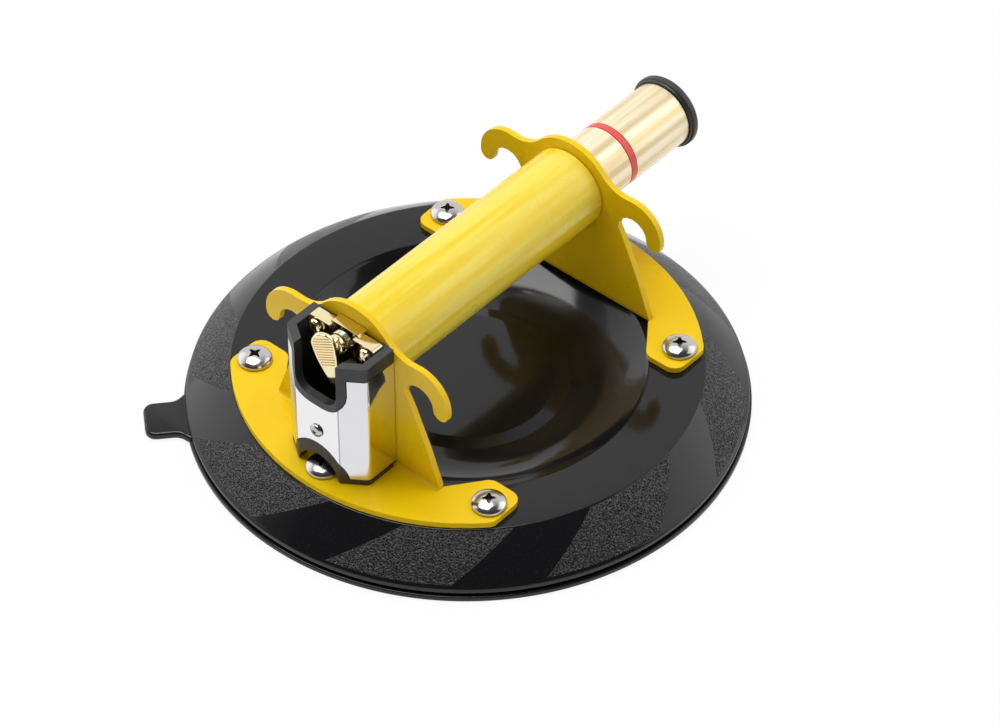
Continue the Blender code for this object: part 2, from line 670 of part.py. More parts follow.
# Grip tube: steel tube set between the two brackets and welded to them.
pump_axis = Matrix.Translation((0, 0, GRIP_HEIGHT)) @ ALONG_X
grip_bore = GRIP_RADIUS - GRIP_WALL
grip = sleeve(GRIP_RADIUS, grip_bore, -GRIP_END, GRIP_END)
add_object("grip_tube", moved(grip, pump_axis), yellow_coat, (0, 0, GRIP_HEIGHT))

# Pump barrel: thin brass liner inside the grip, with a plastic bush at its mouth.
barrel_profile = [
    (BARREL_OUTER, BARREL_END),
    (BARREL_OUTER, -GRIP_END),
    (SPIGOT_RADIUS + SEAT_GAP, -GRIP_END),
    (SPIGOT_RADIUS + SEAT_GAP, BARREL_END_WALL - GRIP_END),
    (BARREL_BORE, BARREL_END_WALL - GRIP_END),
    (BARREL_BORE, BARREL_END),
]
barrel = turned(barrel_profile, ROUND_SEGMENTS, True)
add_object("pump_barrel", moved(barrel, pump_axis), bright_brass, (0, 0, GRIP_HEIGHT))
bush_bore = PLUNGER_RADIUS + RUNNING_GAP
bush = sleeve(BARREL_OUTER, bush_bore, BARREL_END + SEAT_GAP, GRIP_END)
add_object("guide_bush", moved(bush, pump_axis), black_plastic, (0, 0, GRIP_HEIGHT))

# Plunger: brass tube with a piston inside the barrel, a red band and a black cap.
plunger_slide = empty("plunger_slide", (BRACKET_REACH, 0, GRIP_HEIGHT), assembly)
slide_origin = tuple(plunger_slide.location)
plunger_bore = PLUNGER_RADIUS - PLUNGER_WALL
band_start = BRACKET_REACH + BAND_SETOUT
band_end = band_start + BAND_WIDTH
groove_radius = PLUNGER_RADIUS - BAND_GROOVE
plunger_profile = [
    (PLUNGER_RADIUS, CAP_START - SEAT_GAP),
    (PLUNGER_RADIUS, band_end + SEAT_GAP),
    (groove_radius, band_end + SEAT_GAP),
    (groove_radius, band_start - SEAT_GAP),
    (PLUNGER_RADIUS, band_start - SEAT_GAP),
    (PLUNGER_RADIUS, PISTON_FRONT + SEAT_GAP),
    (plunger_bore, PISTON_FRONT + SEAT_GAP),
    (plunger_bore, CAP_START - SEAT_GAP),
]
plunger = turned(plunger_profile, ROUND_SEGMENTS, True)
add_object("plunger_tube", moved(plunger, pump_axis), bright_brass, slide_origin, plunger_slide)
band = sleeve(PLUNGER_RADIUS, groove_radius + SEAT_GAP, band_start, band_end)
add_object("indicator_band", moved(band, pump_axis), red_band, slide_origin, plunger_slide)
plug_radius = plunger_bore - SEAT_GAP
cap_profile = [
    (0, CAP_START - CAP_PLUG_LENGTH),
    (plug_radius, CAP_START - CAP_PLUG_LENGTH),
    (plug_radius, CAP_START),
    (CAP_RADIUS - 0.4 * MM, CAP_START),
    (CAP_RADIUS, CAP_START + 0.6 * MM),
    (CAP_RADIUS, PLUNGER_END_X - 1.4 * MM),
    (CAP_RADIUS - 0.5 * MM, PLUNGER_END_X - 0.5 * MM),
    (CAP_RADIUS - 1.6 * MM, PLUNGER_END_X),
    (0, PLUNGER_END_X),
]
cap = turned(cap_profile)
add_object("plunger_cap", moved(cap, pump_axis), black_plastic, slide_origin, plunger_slide)

piston_back = PISTON_FRONT - PISTON_LENGTH
groove_floor = PISTON_RADIUS - PISTON_GROOVE
seal_middle = piston_back + PISTON_LENGTH * 0.45
seal_back = seal_middle - PISTON_SEAL_WIDTH / 2
seal_front = seal_middle + PISTON_SEAL_WIDTH / 2
piston_profile = [
    (0, piston_back),
    (PISTON_RADIUS - 0.8 * MM, piston_back),
    (PISTON_RADIUS, piston_back + 0.8 * MM),
    (PISTON_RADIUS, seal_back - SEAT_GAP),
    (groove_floor, seal_back - SEAT_GAP),
    (groove_floor, seal_front + SEAT_GAP),
    (PISTON_RADIUS, seal_front + SEAT_GAP),
    (PISTON_RADIUS, PISTON_FRONT),
    (plug_radius, PISTON_FRONT),
    (plug_radius, PISTON_FRONT + CAP_PLUG_LENGTH),
    (0, PISTON_FRONT + CAP_PLUG_LENGTH),
]
piston = turned(piston_profile)
add_object("piston", moved(piston, pump_axis), bright_brass, slide_origin, plunger_slide)
seal_profile = [
    (PISTON_RADIUS, seal_back),
    (PISTON_RADIUS - 1.1 * MM, seal_back),
    (groove_floor + 1.0 * MM, seal_front - 1.2 * MM),
    (groove_floor + SEAT_GAP, seal_front - 1.2 * MM),
    (groove_floor + SEAT_GAP, seal_front),
    (PISTON_RADIUS - 0.5 * MM, seal_front),
]
cup = turned(seal_profile, ROUND_SEGMENTS, True)
add_object("piston_seal", moved(cup, pump_axis), soft_rubber, slide_origin, plunger_slide)

# Valve body: brass block with two ears, a spigot that closes the barrel and a hose tail.
block_back = -BRACKET_REACH - SEAT_GAP
block_face = -BLOCK_FRONT
ear_back = EAR_THICKNESS - EAR_FRONT
block_corners = [
    (-BLOCK_HALF_WIDTH, GRIP_HEIGHT - BLOCK_BOTTOM, 1.5 * MM),
    (BLOCK_HALF_WIDTH, GRIP_HEIGHT - BLOCK_BOTTOM, 1.5 * MM),
    (BLOCK_HALF_WIDTH, GRIP_HEIGHT + BLOCK_TOP, 0.5 * MM),
    (-BLOCK_HALF_WIDTH, GRIP_HEIGHT + BLOCK_TOP, 0.5 * MM),
]
valve_body = add_object(
    "valve_body", prism(rounded(block_corners, 3), block_face, block_back, "YZ"), bright_brass
)
ear_sides = ((1, "left"), (-1, "right"))
for way, side in ear_sides:
    ear_corners = [
        (way * (BLOCK_HALF_WIDTH - 1.0 * MM), VALVE_HEIGHT - EAR_HALF_HEIGHT, 0),
        (way * EAR_HALF_WIDTH, VALVE_HEIGHT - EAR_HALF_HEIGHT, 2.5 * MM),
        (way * EAR_HALF_WIDTH, VALVE_HEIGHT + EAR_HALF_HEIGHT, 1.0 * MM),
        (way * (BLOCK_HALF_WIDTH - 1.0 * MM), VALVE_HEIGHT + EAR_HALF_HEIGHT, 0),
    ]
    boolean(valve_body, f"ear_{side}", prism(rounded(ear_corners, 3), -EAR_FRONT, ear_back, "YZ"), "UNION")
spigot_end = -BRACKET_REACH + SHEET + SPIGOT_LENGTH
neck_start = -BLOCK_FRONT + BLOCK_THICKNESS / 2
neck_radius = BLOCK_HALF_WIDTH - 1.0 * MM
spigot_profile = [
    (0, neck_start),
    (neck_radius, neck_start),
    (neck_radius, SEAT_GAP - BRACKET_REACH),
    (SPIGOT_RADIUS, SEAT_GAP - BRACKET_REACH),
    (SPIGOT_RADIUS, spigot_end),
    (0, spigot_end),
]
boolean(valve_body, "spigot", moved(turned(spigot_profile), pump_axis), "UNION")
duct_radius = PORT_RADIUS * 0.6
cross_height = GRIP_HEIGHT - CROSS_DUCT_DROP
tail_low = GRIP_HEIGHT - BLOCK_BOTTOM - TAIL_DROP
boss_top = cross_height + duct_radius + DUCT_COVER
barb_radius = HOSE_BORE - SEAT_GAP
tail_profile = [
    (0, tail_low - BARB_LENGTH),
    (barb_radius - BARB_LEAD, tail_low - BARB_LENGTH),
    (barb_radius, tail_low - BARB_LENGTH + BARB_LEAD_LENGTH),
    (barb_radius, tail_low),
    (BOSS_RADIUS, tail_low),
    (BOSS_RADIUS, cross_height - BOSS_CONE_DROP),
    (BOSS_TOP_RADIUS, cross_height - BOSS_CONE_DROP + BOSS_CONE),
    (BOSS_TOP_RADIUS, boss_top),
    (0, boss_top),
]
boolean(valve_body, "hose_tail", moved(turned(tail_profile, SMALL_SEGMENTS), fitting_place), "UNION")

valve_axis = Matrix.Translation((0, 0, VALVE_HEIGHT)) @ ALONG_X
stem_bore = STEM_RADIUS + STEM_CLEARANCE
stem_hole = rod(stem_bore, -BLOCK_FRONT - OVERSHOOT, block_back - 1.0 * MM, 20)
boolean(valve_body, "stem_hole", moved(stem_hole, valve_axis))
pocket_floor = block_back - VALVE_POCKET_DEPTH
pocket = rod(SEAL_RADIUS + SEAT_GAP, pocket_floor, block_back + OVERSHOOT, 24)
boolean(valve_body, "valve_pocket", moved(pocket, valve_axis))
duct = rod(duct_radius, tail_low - BARB_LENGTH - OVERSHOOT, cross_height + duct_radius, 12)
boolean(valve_body, "duct_up", moved(duct, fitting_place))
riser_x = pocket_floor + VALVE_POCKET_DEPTH / 2
cross_axis = Matrix.Translation((0, 0, cross_height)) @ ALONG_X
cross_duct = rod(duct_radius, -HOSE_X, spigot_end + OVERSHOOT, 12)
boolean(valve_body, "duct_across", moved(cross_duct, cross_axis))
riser = rod(duct_radius * 1.05, cross_height, VALVE_HEIGHT, 12)
boolean(valve_body, "duct_to_pocket", moved(riser, Matrix.Translation((riser_x, 0, 0))))
flap_hole = rod(duct_radius * 1.3, spigot_end - FLAP_STEM_LENGTH - 0.5 * MM, spigot_end + OVERSHOOT, 12)
boolean(valve_body, "flap_hole", moved(flap_hole, pump_axis))

# Valve screws: hold the ears and the guard's back wall to the bracket.
ear_hole_radius = EAR_SCREW_RADIUS + SEAT_GAP
for way, side in ear_sides:
    ear_axis = Matrix.Translation((0, way * EAR_SCREW_Y, VALVE_HEIGHT)) @ ALONG_X
    hole = rod(ear_hole_radius, -EAR_FRONT - OVERSHOOT, ear_back + OVERSHOOT, 16)
    boolean(valve_body, f"ear_hole_{side}", moved(hole, ear_axis))
    plate_hole = rod(ear_hole_radius, -BRACKET_REACH - OVERSHOOT, -BRACKET_REACH + SHEET + OVERSHOOT, 16)
    boolean(valve_end_bracket, f"plate_hole_{side}", moved(plate_hole, ear_axis))
    seat = (-EAR_FRONT - SEAT_GAP, way * EAR_SCREW_Y, VALVE_HEIGHT)
    shank = EAR_FRONT - (BRACKET_REACH - SHEET)
    body = pan_head(EAR_SCREW_HEAD, EAR_SCREW_HEAD * 0.6, EAR_SCREW_RADIUS, shank, 16)
    outward = Matrix.Translation(seat) @ Matrix.Rotation(math.radians(-90), 4, "Y")
    screw = add_object(f"valve_screw_{side}", moved(body, outward), bright_brass, seat)
    slot = prism(
        [(-EAR_SCREW_HEAD, -0.35 * MM), (EAR_SCREW_HEAD, -0.35 * MM), (EAR_SCREW_HEAD, 0.35 * MM),
         (-EAR_SCREW_HEAD, 0.35 * MM)],
        EAR_SCREW_HEAD * 0.25,
        EAR_SCREW_HEAD,
    )
    boolean(screw, f"slot_{side}", moved(slot, outward @ Matrix.Rotation(math.radians(35 * way), 4, "Z")))

# One-way valve: rubber umbrella over the port at the barrel end of the spigot.
flap_profile = [
    (0, spigot_end - FLAP_STEM_LENGTH),
    (duct_radius * 0.9, spigot_end - FLAP_STEM_LENGTH),
    (duct_radius * 0.9, spigot_end + SEAT_GAP),
    (FLAP_RADIUS, spigot_end + SEAT_GAP),
    (FLAP_RADIUS, spigot_end + SEAT_GAP + FLAP_THICKNESS * 0.4),
    (duct_radius, spigot_end + SEAT_GAP + FLAP_THICKNESS),
    (0, spigot_end + SEAT_GAP + FLAP_THICKNESS),
]
flap = turned(flap_profile, SMALL_SEGMENTS)
add_object("one_way_valve", moved(flap, pump_axis), soft_rubber, (spigot_end, 0, GRIP_HEIGHT))

# Pump spring: pushes the piston and plunger out, and bears on the barrel's end wall.
spring_low = BARREL_END_WALL - GRIP_END + SEAT_GAP
spring = coil(PUMP_SPRING_RADIUS, PUMP_SPRING_WIRE, spring_low, piston_back - SEAT_GAP, PUMP_SPRING_TURNS)
add_object("pump_spring", moved(spring, pump_axis), bright_steel, (spring_low, 0, GRIP_HEIGHT))

# Release valve: a stem whose head lifts off a rubber ring when the lever tilts it.
seal_back = pocket_floor + SEAT_GAP
seal = sleeve(SEAL_RADIUS, stem_bore, seal_back, seal_back + SEAL_THICKNESS, SMALL_SEGMENTS)
add_object("release_seal", moved(seal, valve_axis), soft_rubber, (seal_back, 0, VALVE_HEIGHT))
head_start = seal_back + SEAL_THICKNESS + STEM_HEAD_LIFT
head_end = head_start + STEM_HEAD_THICKNESS
pivot = (head_start, 0, VALVE_HEIGHT)
lever_pivot = empty("lever_pivot", pivot, assembly)
hub_back = -BLOCK_FRONT - SEAT_GAP - VALVE_SPRING_LENGTH - SEAT_GAP
hub_front = hub_back - HUB_LENGTH
stem_profile = [
    (0, hub_back - HUB_LENGTH * 0.6),
    (STEM_RADIUS, hub_back - HUB_LENGTH * 0.6),
    (STEM_RADIUS, head_start),
    (STEM_HEAD_RADIUS, head_start),
    (STEM_HEAD_RADIUS, head_end),
    (0, head_end),
]
stem = turned(stem_profile, 20)
add_object("valve_stem", moved(stem, valve_axis), bright_brass, pivot, lever_pivot)
valve_spring = coil(
    VALVE_SPRING_RADIUS, VALVE_SPRING_WIRE, hub_back + SEAT_GAP, -BLOCK_FRONT - SEAT_GAP, VALVE_SPRING_TURNS
)
add_object("valve_spring", moved(valve_spring, valve_axis), bright_steel, (-BLOCK_FRONT, 0, VALVE_HEIGHT))


def leaf_outline(inset):
    """The lever's thumb leaf, round at the top and drawn out to a narrow tip below."""
    half = LEAF_WIDTH / 2
    low = half - LEAF_LENGTH
    tip = 0.9 * MM
    outline = arc((0, 0), half - inset, 0, 180, 12)
    side = []
    steps = 7
    for i in range(1, steps + 1):
        share = i / steps
        width = tip + (half - tip) * math.cos(share * math.pi / 2) ** 0.9
        side.append((max(width - inset, 0.2 * MM), (low + inset) * share))
    outline += [(-x, y) for x, y in side]
    return outline + side[::-1]


# Release lever: brass leaf for the thumb, with a ribbed face, on a hub that holds the stem.
hub_profile = [
    (0, hub_front),
    (HUB_RADIUS, hub_front),
    (HUB_RADIUS, hub_back),
    (STEM_RADIUS + SEAT_GAP, hub_back),
    (STEM_RADIUS + SEAT_GAP, hub_back - HUB_LENGTH * 0.6 - SEAT_GAP),
    (0, hub_back - HUB_LENGTH * 0.6 - SEAT_GAP),
]
hub = turned(hub_profile, SMALL_SEGMENTS)
release_lever = add_object("release_lever", moved(hub, valve_axis), bright_brass, pivot, lever_pivot)
turn = math.radians(LEAF_TURN)
facing = Matrix((
    (math.sin(turn), 0, -math.cos(turn), 0),
    (-math.cos(turn), 0, -math.sin(turn), 0),
    (0, 1, 0, 0),
    (0, 0, 0, 1),
))
leaf_top = LEAF_LENGTH / 2 - LEAF_WIDTH / 2
leaf_place = (
    Matrix.Translation((hub_front + 0.6 * MM, 0, VALVE_HEIGHT - LEAF_DROP))
    @ facing
    @ Matrix.Rotation(math.radians(LEAF_LEAN), 4, "Z")
    @ Matrix.Translation((0, leaf_top, 0))
)
leaf = moved(prism(leaf_outline(0), 0, LEAF_THICKNESS), leaf_place)
boolean(release_lever, "leaf", leaf, "UNION")
field = prism(leaf_outline(LEAF_RIM), LEAF_THICKNESS - RIDGE_HEIGHT, LEAF_THICKNESS + OVERSHOOT)
thumb_field = add_cutter("thumb_field", moved(field, leaf_place))
ridges = bmesh.new()
for i in range(RIDGE_COUNT + 1):
    level = LEAF_WIDTH / 2 - LEAF_RIM - RIDGE_PITCH * (i + 0.75)
    deep = i == RIDGE_COUNT
    bottom = -LEAF_LENGTH if deep else level
    bar = [(-LEAF_WIDTH, bottom), (LEAF_WIDTH, bottom), (LEAF_WIDTH, level + RIDGE_PITCH / 2),
           (-LEAF_WIDTH, level + RIDGE_PITCH / 2)]
    piece = moved(prism(bar, 0, LEAF_THICKNESS + 2 * OVERSHOOT), leaf_place)
    offset = len(ridges.verts)
    copied = [ridges.verts.new(vertex.co) for vertex in piece.verts]
    for face in piece.faces:
        ridges.faces.new([copied[vertex.index] for vertex in face.verts])
    piece.free()
face_out(ridges)
boolean(thumb_field, "thumb_ridges", ridges)
boolean(release_lever, "thumb_face", thumb_field)

# Fitting and hose: brass tail through the foot into the pad, and a short rubber hose up to the valve.
flange_low = FOOT_TOP + SEAT_GAP
flange_top = flange_low + FITTING_FLANGE
fitting_low = CHAMBER_HEIGHT + FITTING_RECESS
fitting_profile = [
    (duct_radius, fitting_low),
    (FITTING_STEM_RADIUS, fitting_low),
    (FITTING_STEM_RADIUS, flange_low),
    (FITTING_FLANGE_RADIUS, flange_low),
    (FITTING_FLANGE_RADIUS, flange_top),
    (barb_radius, flange_top),
    (barb_radius, flange_top + BARB_LENGTH - BARB_LEAD_LENGTH),
    (barb_radius - BARB_LEAD, flange_top + BARB_LENGTH),
    (duct_radius, flange_top + BARB_LENGTH),
]
fitting = turned(fitting_profile, SMALL_SEGMENTS, True)
add_object("pad_fitting", moved(fitting, fitting_place), bright_brass, (-HOSE_X, 0, FOOT_TOP))
hose_low = flange_top + SEAT_GAP
hose_high = tail_low - SEAT_GAP
hose = sleeve(HOSE_RADIUS, HOSE_BORE, hose_low, hose_high, SMALL_SEGMENTS)
add_object("vacuum_hose", moved(hose, fitting_place), soft_rubber, (-HOSE_X, 0, hose_low))
for name, low in (("lower", hose_low + CLIP_SETBACK), ("upper", hose_high - CLIP_SETBACK - CLIP_WIDTH)):
    clip = sleeve(HOSE_RADIUS + SEAT_GAP + CLIP_THICKNESS, HOSE_RADIUS + SEAT_GAP, low, low + CLIP_WIDTH, SMALL_SEGMENTS)
    add_object(f"hose_clip_{name}", moved(clip, fitting_place), bright_steel, (-HOSE_X, 0, low))

# Guard: a plastic liner round the valve, with a bright steel cover let into its outside.
guard_rear = -BRACKET_REACH - SEAT_GAP
guard_corner = -BRACKET_REACH - GUARD_CORNER_REACH
guard_front = -BRACKET_REACH - GUARD_FRONT_REACH
guard_path = [
    (guard_rear, -GUARD_HALF_WIDTH),
    (guard_corner, -GUARD_HALF_WIDTH),
    (guard_front, -GUARD_FRONT_HALF_WIDTH),
    (guard_front, GUARD_FRONT_HALF_WIDTH),
    (guard_corner, GUARD_HALF_WIDTH),
    (guard_rear, GUARD_HALF_WIDTH),
]


def guard_wall(outer, inner, low, high):
    """A wall that follows the guard's plan between two depths below its outer face."""
    def side(depth):
        radius = max(GUARD_CORNER_RADIUS - depth, 0.3 * MM)
        path = offset_path(guard_path, -depth)
        return [(x, y, 0 if i in (0, len(path) - 1) else radius) for i, (x, y) in enumerate(path)]

    return prism(rounded(side(outer) + side(inner)[::-1], 3), low, high)


def notch_cutter(half_width, floor, radius):
    top = LINER_TOP + OVERSHOOT
    corners = [
        (-half_width, floor, radius),
        (half_width, floor, radius),
        (half_width, top, 0),
        (-half_width, top, 0),
    ]
    return prism(rounded(corners, 6), guard_front - OVERSHOOT, guard_corner + OVERSHOOT, "YZ")


def arch_cutter(radius, centre_height):
    circle = arc((0, centre_height), radius, 0, 360, 40)[:-1]
    return prism(circle, guard_front - OVERSHOOT, guard_corner + OVERSHOOT, "YZ")


liner_base = FOOT_TOP + SEAT_GAP
arch_height = FOOT_TOP + ARCH_RISE
liner_depth = COVER_THICKNESS + SEAT_GAP
guard_liner = add_object(
    "guard_liner", guard_wall(0, liner_depth + LINER_WALL, liner_base, LINER_TOP), black_plastic
)
cover_low = liner_base + BASE_STRIP + SEAT_GAP
cover_room = add_cutter(
    "cover_room", guard_wall(-OVERSHOOT, liner_depth, liner_base + BASE_STRIP, COVER_TOP + SEAT_GAP)
)
boolean(cover_room, "notch_rim", notch_cutter(
    NOTCH_HALF_WIDTH - SEAT_GAP, NOTCH_FLOOR + SEAT_GAP, NOTCH_RADIUS - SEAT_GAP))
boolean(cover_room, "arch_rim", arch_cutter(ARCH_HALF_WIDTH - SEAT_GAP, arch_height))
boolean(guard_liner, "cover_room", cover_room)
boolean(guard_liner, "liner_notch", notch_cutter(
    NOTCH_HALF_WIDTH - NOTCH_RIM, NOTCH_FLOOR + NOTCH_RIM, LINER_NOTCH_RADIUS))
boolean(guard_liner, "liner_arch", arch_cutter(ARCH_HALF_WIDTH - ARCH_RIM, arch_height - ARCH_DROP))
bend_room = [
    (-BRACKET_REACH - BEND_RADIUS - SEAT_GAP, liner_base - OVERSHOOT),
    (0, liner_base - OVERSHOOT),
    (0, FOOT_TOP + BEND_RADIUS + SEAT_GAP),
    (-BRACKET_REACH - BEND_RADIUS - SEAT_GAP, FOOT_TOP + BEND_RADIUS + SEAT_GAP),
]
boolean(guard_liner, "bend_room", prism(bend_room, -FOOT_OUTER_RADIUS, FOOT_OUTER_RADIUS, "XZ"))
wall_reach = GUARD_HALF_WIDTH - liner_depth - LINER_WALL / 2
wall_low = FOOT_TOP + BEND_RADIUS + SEAT_GAP
block_room = BLOCK_HALF_WIDTH + SEAT_GAP
room_low = GRIP_HEIGHT - BLOCK_BOTTOM - SEAT_GAP
back_wall = [
    (-wall_reach, wall_low),
    (wall_reach, wall_low),
    (wall_reach, LINER_TOP),
    (block_room, LINER_TOP),
    (block_room, room_low),
    (-block_room, room_low),
    (-block_room, LINER_TOP),
    (-wall_reach, LINER_TOP),
]
boolean(guard_liner, "back_wall", prism(back_wall, ear_back + SEAT_GAP, guard_rear, "YZ"), "UNION")
for way, side in ear_sides:
    ear_axis = Matrix.Translation((0, way * EAR_SCREW_Y, VALVE_HEIGHT)) @ ALONG_X
    hole = rod(ear_hole_radius, ear_back - OVERSHOOT, guard_rear + OVERSHOOT, 16)
    boolean(guard_liner, f"wall_hole_{side}", moved(hole, ear_axis))

guard_axis = Matrix.Translation((0, 0, GUARD_SCREW_HEIGHT)) @ ALONG_X
liner_inside = guard_front + liner_depth + LINER_WALL
boss = rod(GUARD_BOSS_RADIUS, liner_inside - LINER_WALL / 2, liner_inside + GUARD_BOSS_LENGTH)
boolean(guard_liner, "guard_boss", moved(boss, guard_axis), "UNION")
guard_hole = rod(
    GUARD_SCREW_SHANK + SEAT_GAP, guard_front - OVERSHOOT, liner_inside + GUARD_BOSS_LENGTH + OVERSHOOT, 16
)
guard_hole = add_cutter("guard_screw_hole", moved(guard_hole, guard_axis))
boolean(guard_liner, "guard_screw_hole", guard_hole)

guard_cover = add_object("guard_cover", guard_wall(0, COVER_THICKNESS, cover_low, COVER_TOP), bright_steel)
boolean(guard_cover, "cover_notch", notch_cutter(NOTCH_HALF_WIDTH, NOTCH_FLOOR, NOTCH_RADIUS))
boolean(guard_cover, "cover_arch", arch_cutter(ARCH_HALF_WIDTH, arch_height))
boolean(guard_cover, "guard_screw_hole", guard_hole)

seat = (guard_front - SEAT_GAP, 0, GUARD_SCREW_HEIGHT)
shank = liner_inside + GUARD_BOSS_LENGTH - guard_front
body = pan_head(GUARD_SCREW_HEAD, GUARD_SCREW_HEAD * 0.55, GUARD_SCREW_SHANK, shank, 20)
outward = Matrix.Translation(seat) @ Matrix.Rotation(math.radians(-90), 4, "Y")
guard_screw = add_object("guard_screw", moved(body, outward), bright_steel, seat)
scale = GUARD_SCREW_HEAD / SCREW_HEAD_RADIUS
recess = cross_recess(
    CROSS_REACH * scale, CROSS_WIDTH * scale, GUARD_SCREW_HEAD * 0.25, GUARD_SCREW_HEAD
)
boolean(guard_screw, "guard_screw_cross", moved(recess, outward @ Matrix.Rotation(math.radians(20), 4, "Z")))
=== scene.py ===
"""Looks of the hand-held pump suction cup: its finishes, its fine shapes and the studio round it.

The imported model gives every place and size. Lengths are in metres, with the sealing face on z = 0.
The corners of profiles and outlines are in millimetres, and fillet() turns them into metres.
"""

import math

import bmesh
import bpy
from mathutils import Matrix, Quaternion, Vector


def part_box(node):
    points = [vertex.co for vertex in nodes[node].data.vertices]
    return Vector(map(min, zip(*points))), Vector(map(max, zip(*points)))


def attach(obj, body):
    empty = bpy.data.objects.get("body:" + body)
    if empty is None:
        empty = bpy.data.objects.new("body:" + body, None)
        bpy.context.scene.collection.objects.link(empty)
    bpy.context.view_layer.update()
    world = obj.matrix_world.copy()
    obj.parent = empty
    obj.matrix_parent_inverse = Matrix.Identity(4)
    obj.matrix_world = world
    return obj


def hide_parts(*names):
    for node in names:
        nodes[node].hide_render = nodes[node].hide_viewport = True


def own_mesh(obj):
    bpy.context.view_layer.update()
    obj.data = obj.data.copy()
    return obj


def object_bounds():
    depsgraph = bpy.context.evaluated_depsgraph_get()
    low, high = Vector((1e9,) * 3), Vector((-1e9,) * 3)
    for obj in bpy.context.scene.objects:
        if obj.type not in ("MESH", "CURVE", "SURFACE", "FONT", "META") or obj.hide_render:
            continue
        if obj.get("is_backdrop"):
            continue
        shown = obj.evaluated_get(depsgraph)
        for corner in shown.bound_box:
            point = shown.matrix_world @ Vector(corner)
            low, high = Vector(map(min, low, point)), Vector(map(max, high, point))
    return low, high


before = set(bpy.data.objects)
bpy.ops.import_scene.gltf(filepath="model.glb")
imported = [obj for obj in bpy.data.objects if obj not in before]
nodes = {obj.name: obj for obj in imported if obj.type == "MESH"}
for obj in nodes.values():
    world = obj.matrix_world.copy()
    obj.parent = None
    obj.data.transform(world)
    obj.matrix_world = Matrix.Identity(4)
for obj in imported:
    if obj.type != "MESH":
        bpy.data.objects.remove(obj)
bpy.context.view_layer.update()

MM = 0.001

# Camera: the photograph looks down on the cup from beyond the valve end, with a long lens.
# Its place comes from the pad's ellipse, the six screws and the grip tube.
AIM = Vector((-8.65, -18.7, 30.0)) * MM
CAMERA_TURN = math.radians(221.09)
CAMERA_RISE = math.radians(43.47)
CAMERA_ROLL = math.radians(-0.13)
CAMERA_DISTANCE = 1488.4 * MM
FOCAL_PIXELS = 4246.1
PHOTO_WIDTH = 1000
SENSOR_WIDTH = 36.0
lens = bpy.data.cameras.new("camera")
lens.sensor_width = SENSOR_WIDTH
lens.lens = SENSOR_WIDTH * FOCAL_PIXELS / PHOTO_WIDTH
lens.clip_start = 0.01
camera = bpy.data.objects.new("camera", lens)
bpy.context.scene.collection.objects.link(camera)
bpy.context.scene.camera = camera
outlook = Vector((
    math.cos(CAMERA_RISE) * math.cos(CAMERA_TURN),
    math.cos(CAMERA_RISE) * math.sin(CAMERA_TURN),
    math.sin(CAMERA_RISE),
))
camera.location = AIM + outlook * CAMERA_DISTANCE
camera.rotation_mode = "QUATERNION"
camera.rotation_quaternion = (-outlook).to_track_quat("-Z", "Y") @ Quaternion((0, 0, 1), CAMERA_ROLL)
bpy.context.scene.view_settings.view_transform = "Standard"

# Rubber pad: one moulding of black rubber with a thin sealing lip, a pull tab, a raised seat for the
# brackets and a dished middle. Its sloping edge has eight leather-grained fields between smooth
# bands. Six screws go through the seat into a steel ring that is moulded into it.
PAD_SEGMENTS = 288
HOLE_SEGMENTS = 32
SCREW_NAMES = (
    "valve_left", "valve_middle", "valve_right", "plunger_left", "plunger_middle", "plunger_right",
)


def box_middle(node):
    """The middle of a solid's box."""
    low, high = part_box(node)
    return [(low[i] + high[i]) / 2 for i in range(3)]


def fillet(corners, steps, closed=True):
    """A path in metres from (x, y, radius) corners in millimetres. A radius turns its corner to an arc."""
    path = []
    last = len(corners) - 1
    for i, (x, y, radius) in enumerate(corners):
        if radius == 0 or (not closed and i in (0, last)):
            path.append((x, y))
            continue
        here = Vector((x, y))
        back = Vector(corners[i - 1][:2]) - here
        ahead = Vector(corners[(i + 1) % len(corners)][:2]) - here
        half = back.angle(ahead) / 2
        reach = min(radius / math.tan(half), back.length * 0.49, ahead.length * 0.49)
        radius = reach * math.tan(half)
        back.normalize()
        ahead.normalize()
        centre = here + (back + ahead).normalized() * (radius / math.sin(half))
        first = here + back * reach - centre
        turn = first.angle_signed(here + ahead * reach - centre)
        for k in range(steps + 1):
            path.append(tuple(centre + Matrix.Rotation(-turn * k / steps, 2) @ first))
    return [(x * MM, y * MM) for x, y in path]


def lathe(profile, segments, closed=True):
    """Turns a path of (radius, height) points about Z. A point on the axis becomes a pole."""
    shape = bmesh.new()
    rows = []
    for radius, height in profile:
        if radius < 1e-7:
            rows.append([shape.verts.new((0, 0, height))])
            continue
        angles = [math.tau * i / segments for i in range(segments)]
        rows.append([shape.verts.new((radius * math.cos(a), radius * math.sin(a), height)) for a in angles])
    pairs = list(zip(rows, rows[1:]))
    if closed:
        pairs.append((rows[-1], rows[0]))
    for low, high in pairs:
        for i in range(max(len(low), len(high))):
            j = (i + 1) % segments
            corners = [low[i % len(low)], high[i % len(high)], high[j % len(high)], low[j % len(low)]]
            corners = list(dict.fromkeys(corners))
            if len(corners) > 2:
                shape.faces.new(corners)
    return shape


def prism(outline, low, high):
    """Extrudes a closed (x, y) outline up Z."""
    shape = bmesh.new()
    rows = [[shape.verts.new((x, y, z)) for x, y in outline] for z in (low, high)]
    shape.faces.new(rows[0])
    shape.faces.new(rows[1])
    for i, corner in enumerate(rows[0]):
        j = (i + 1) % len(outline)
        shape.faces.new((corner, rows[0][j], rows[1][j], rows[1][i]))
    return shape


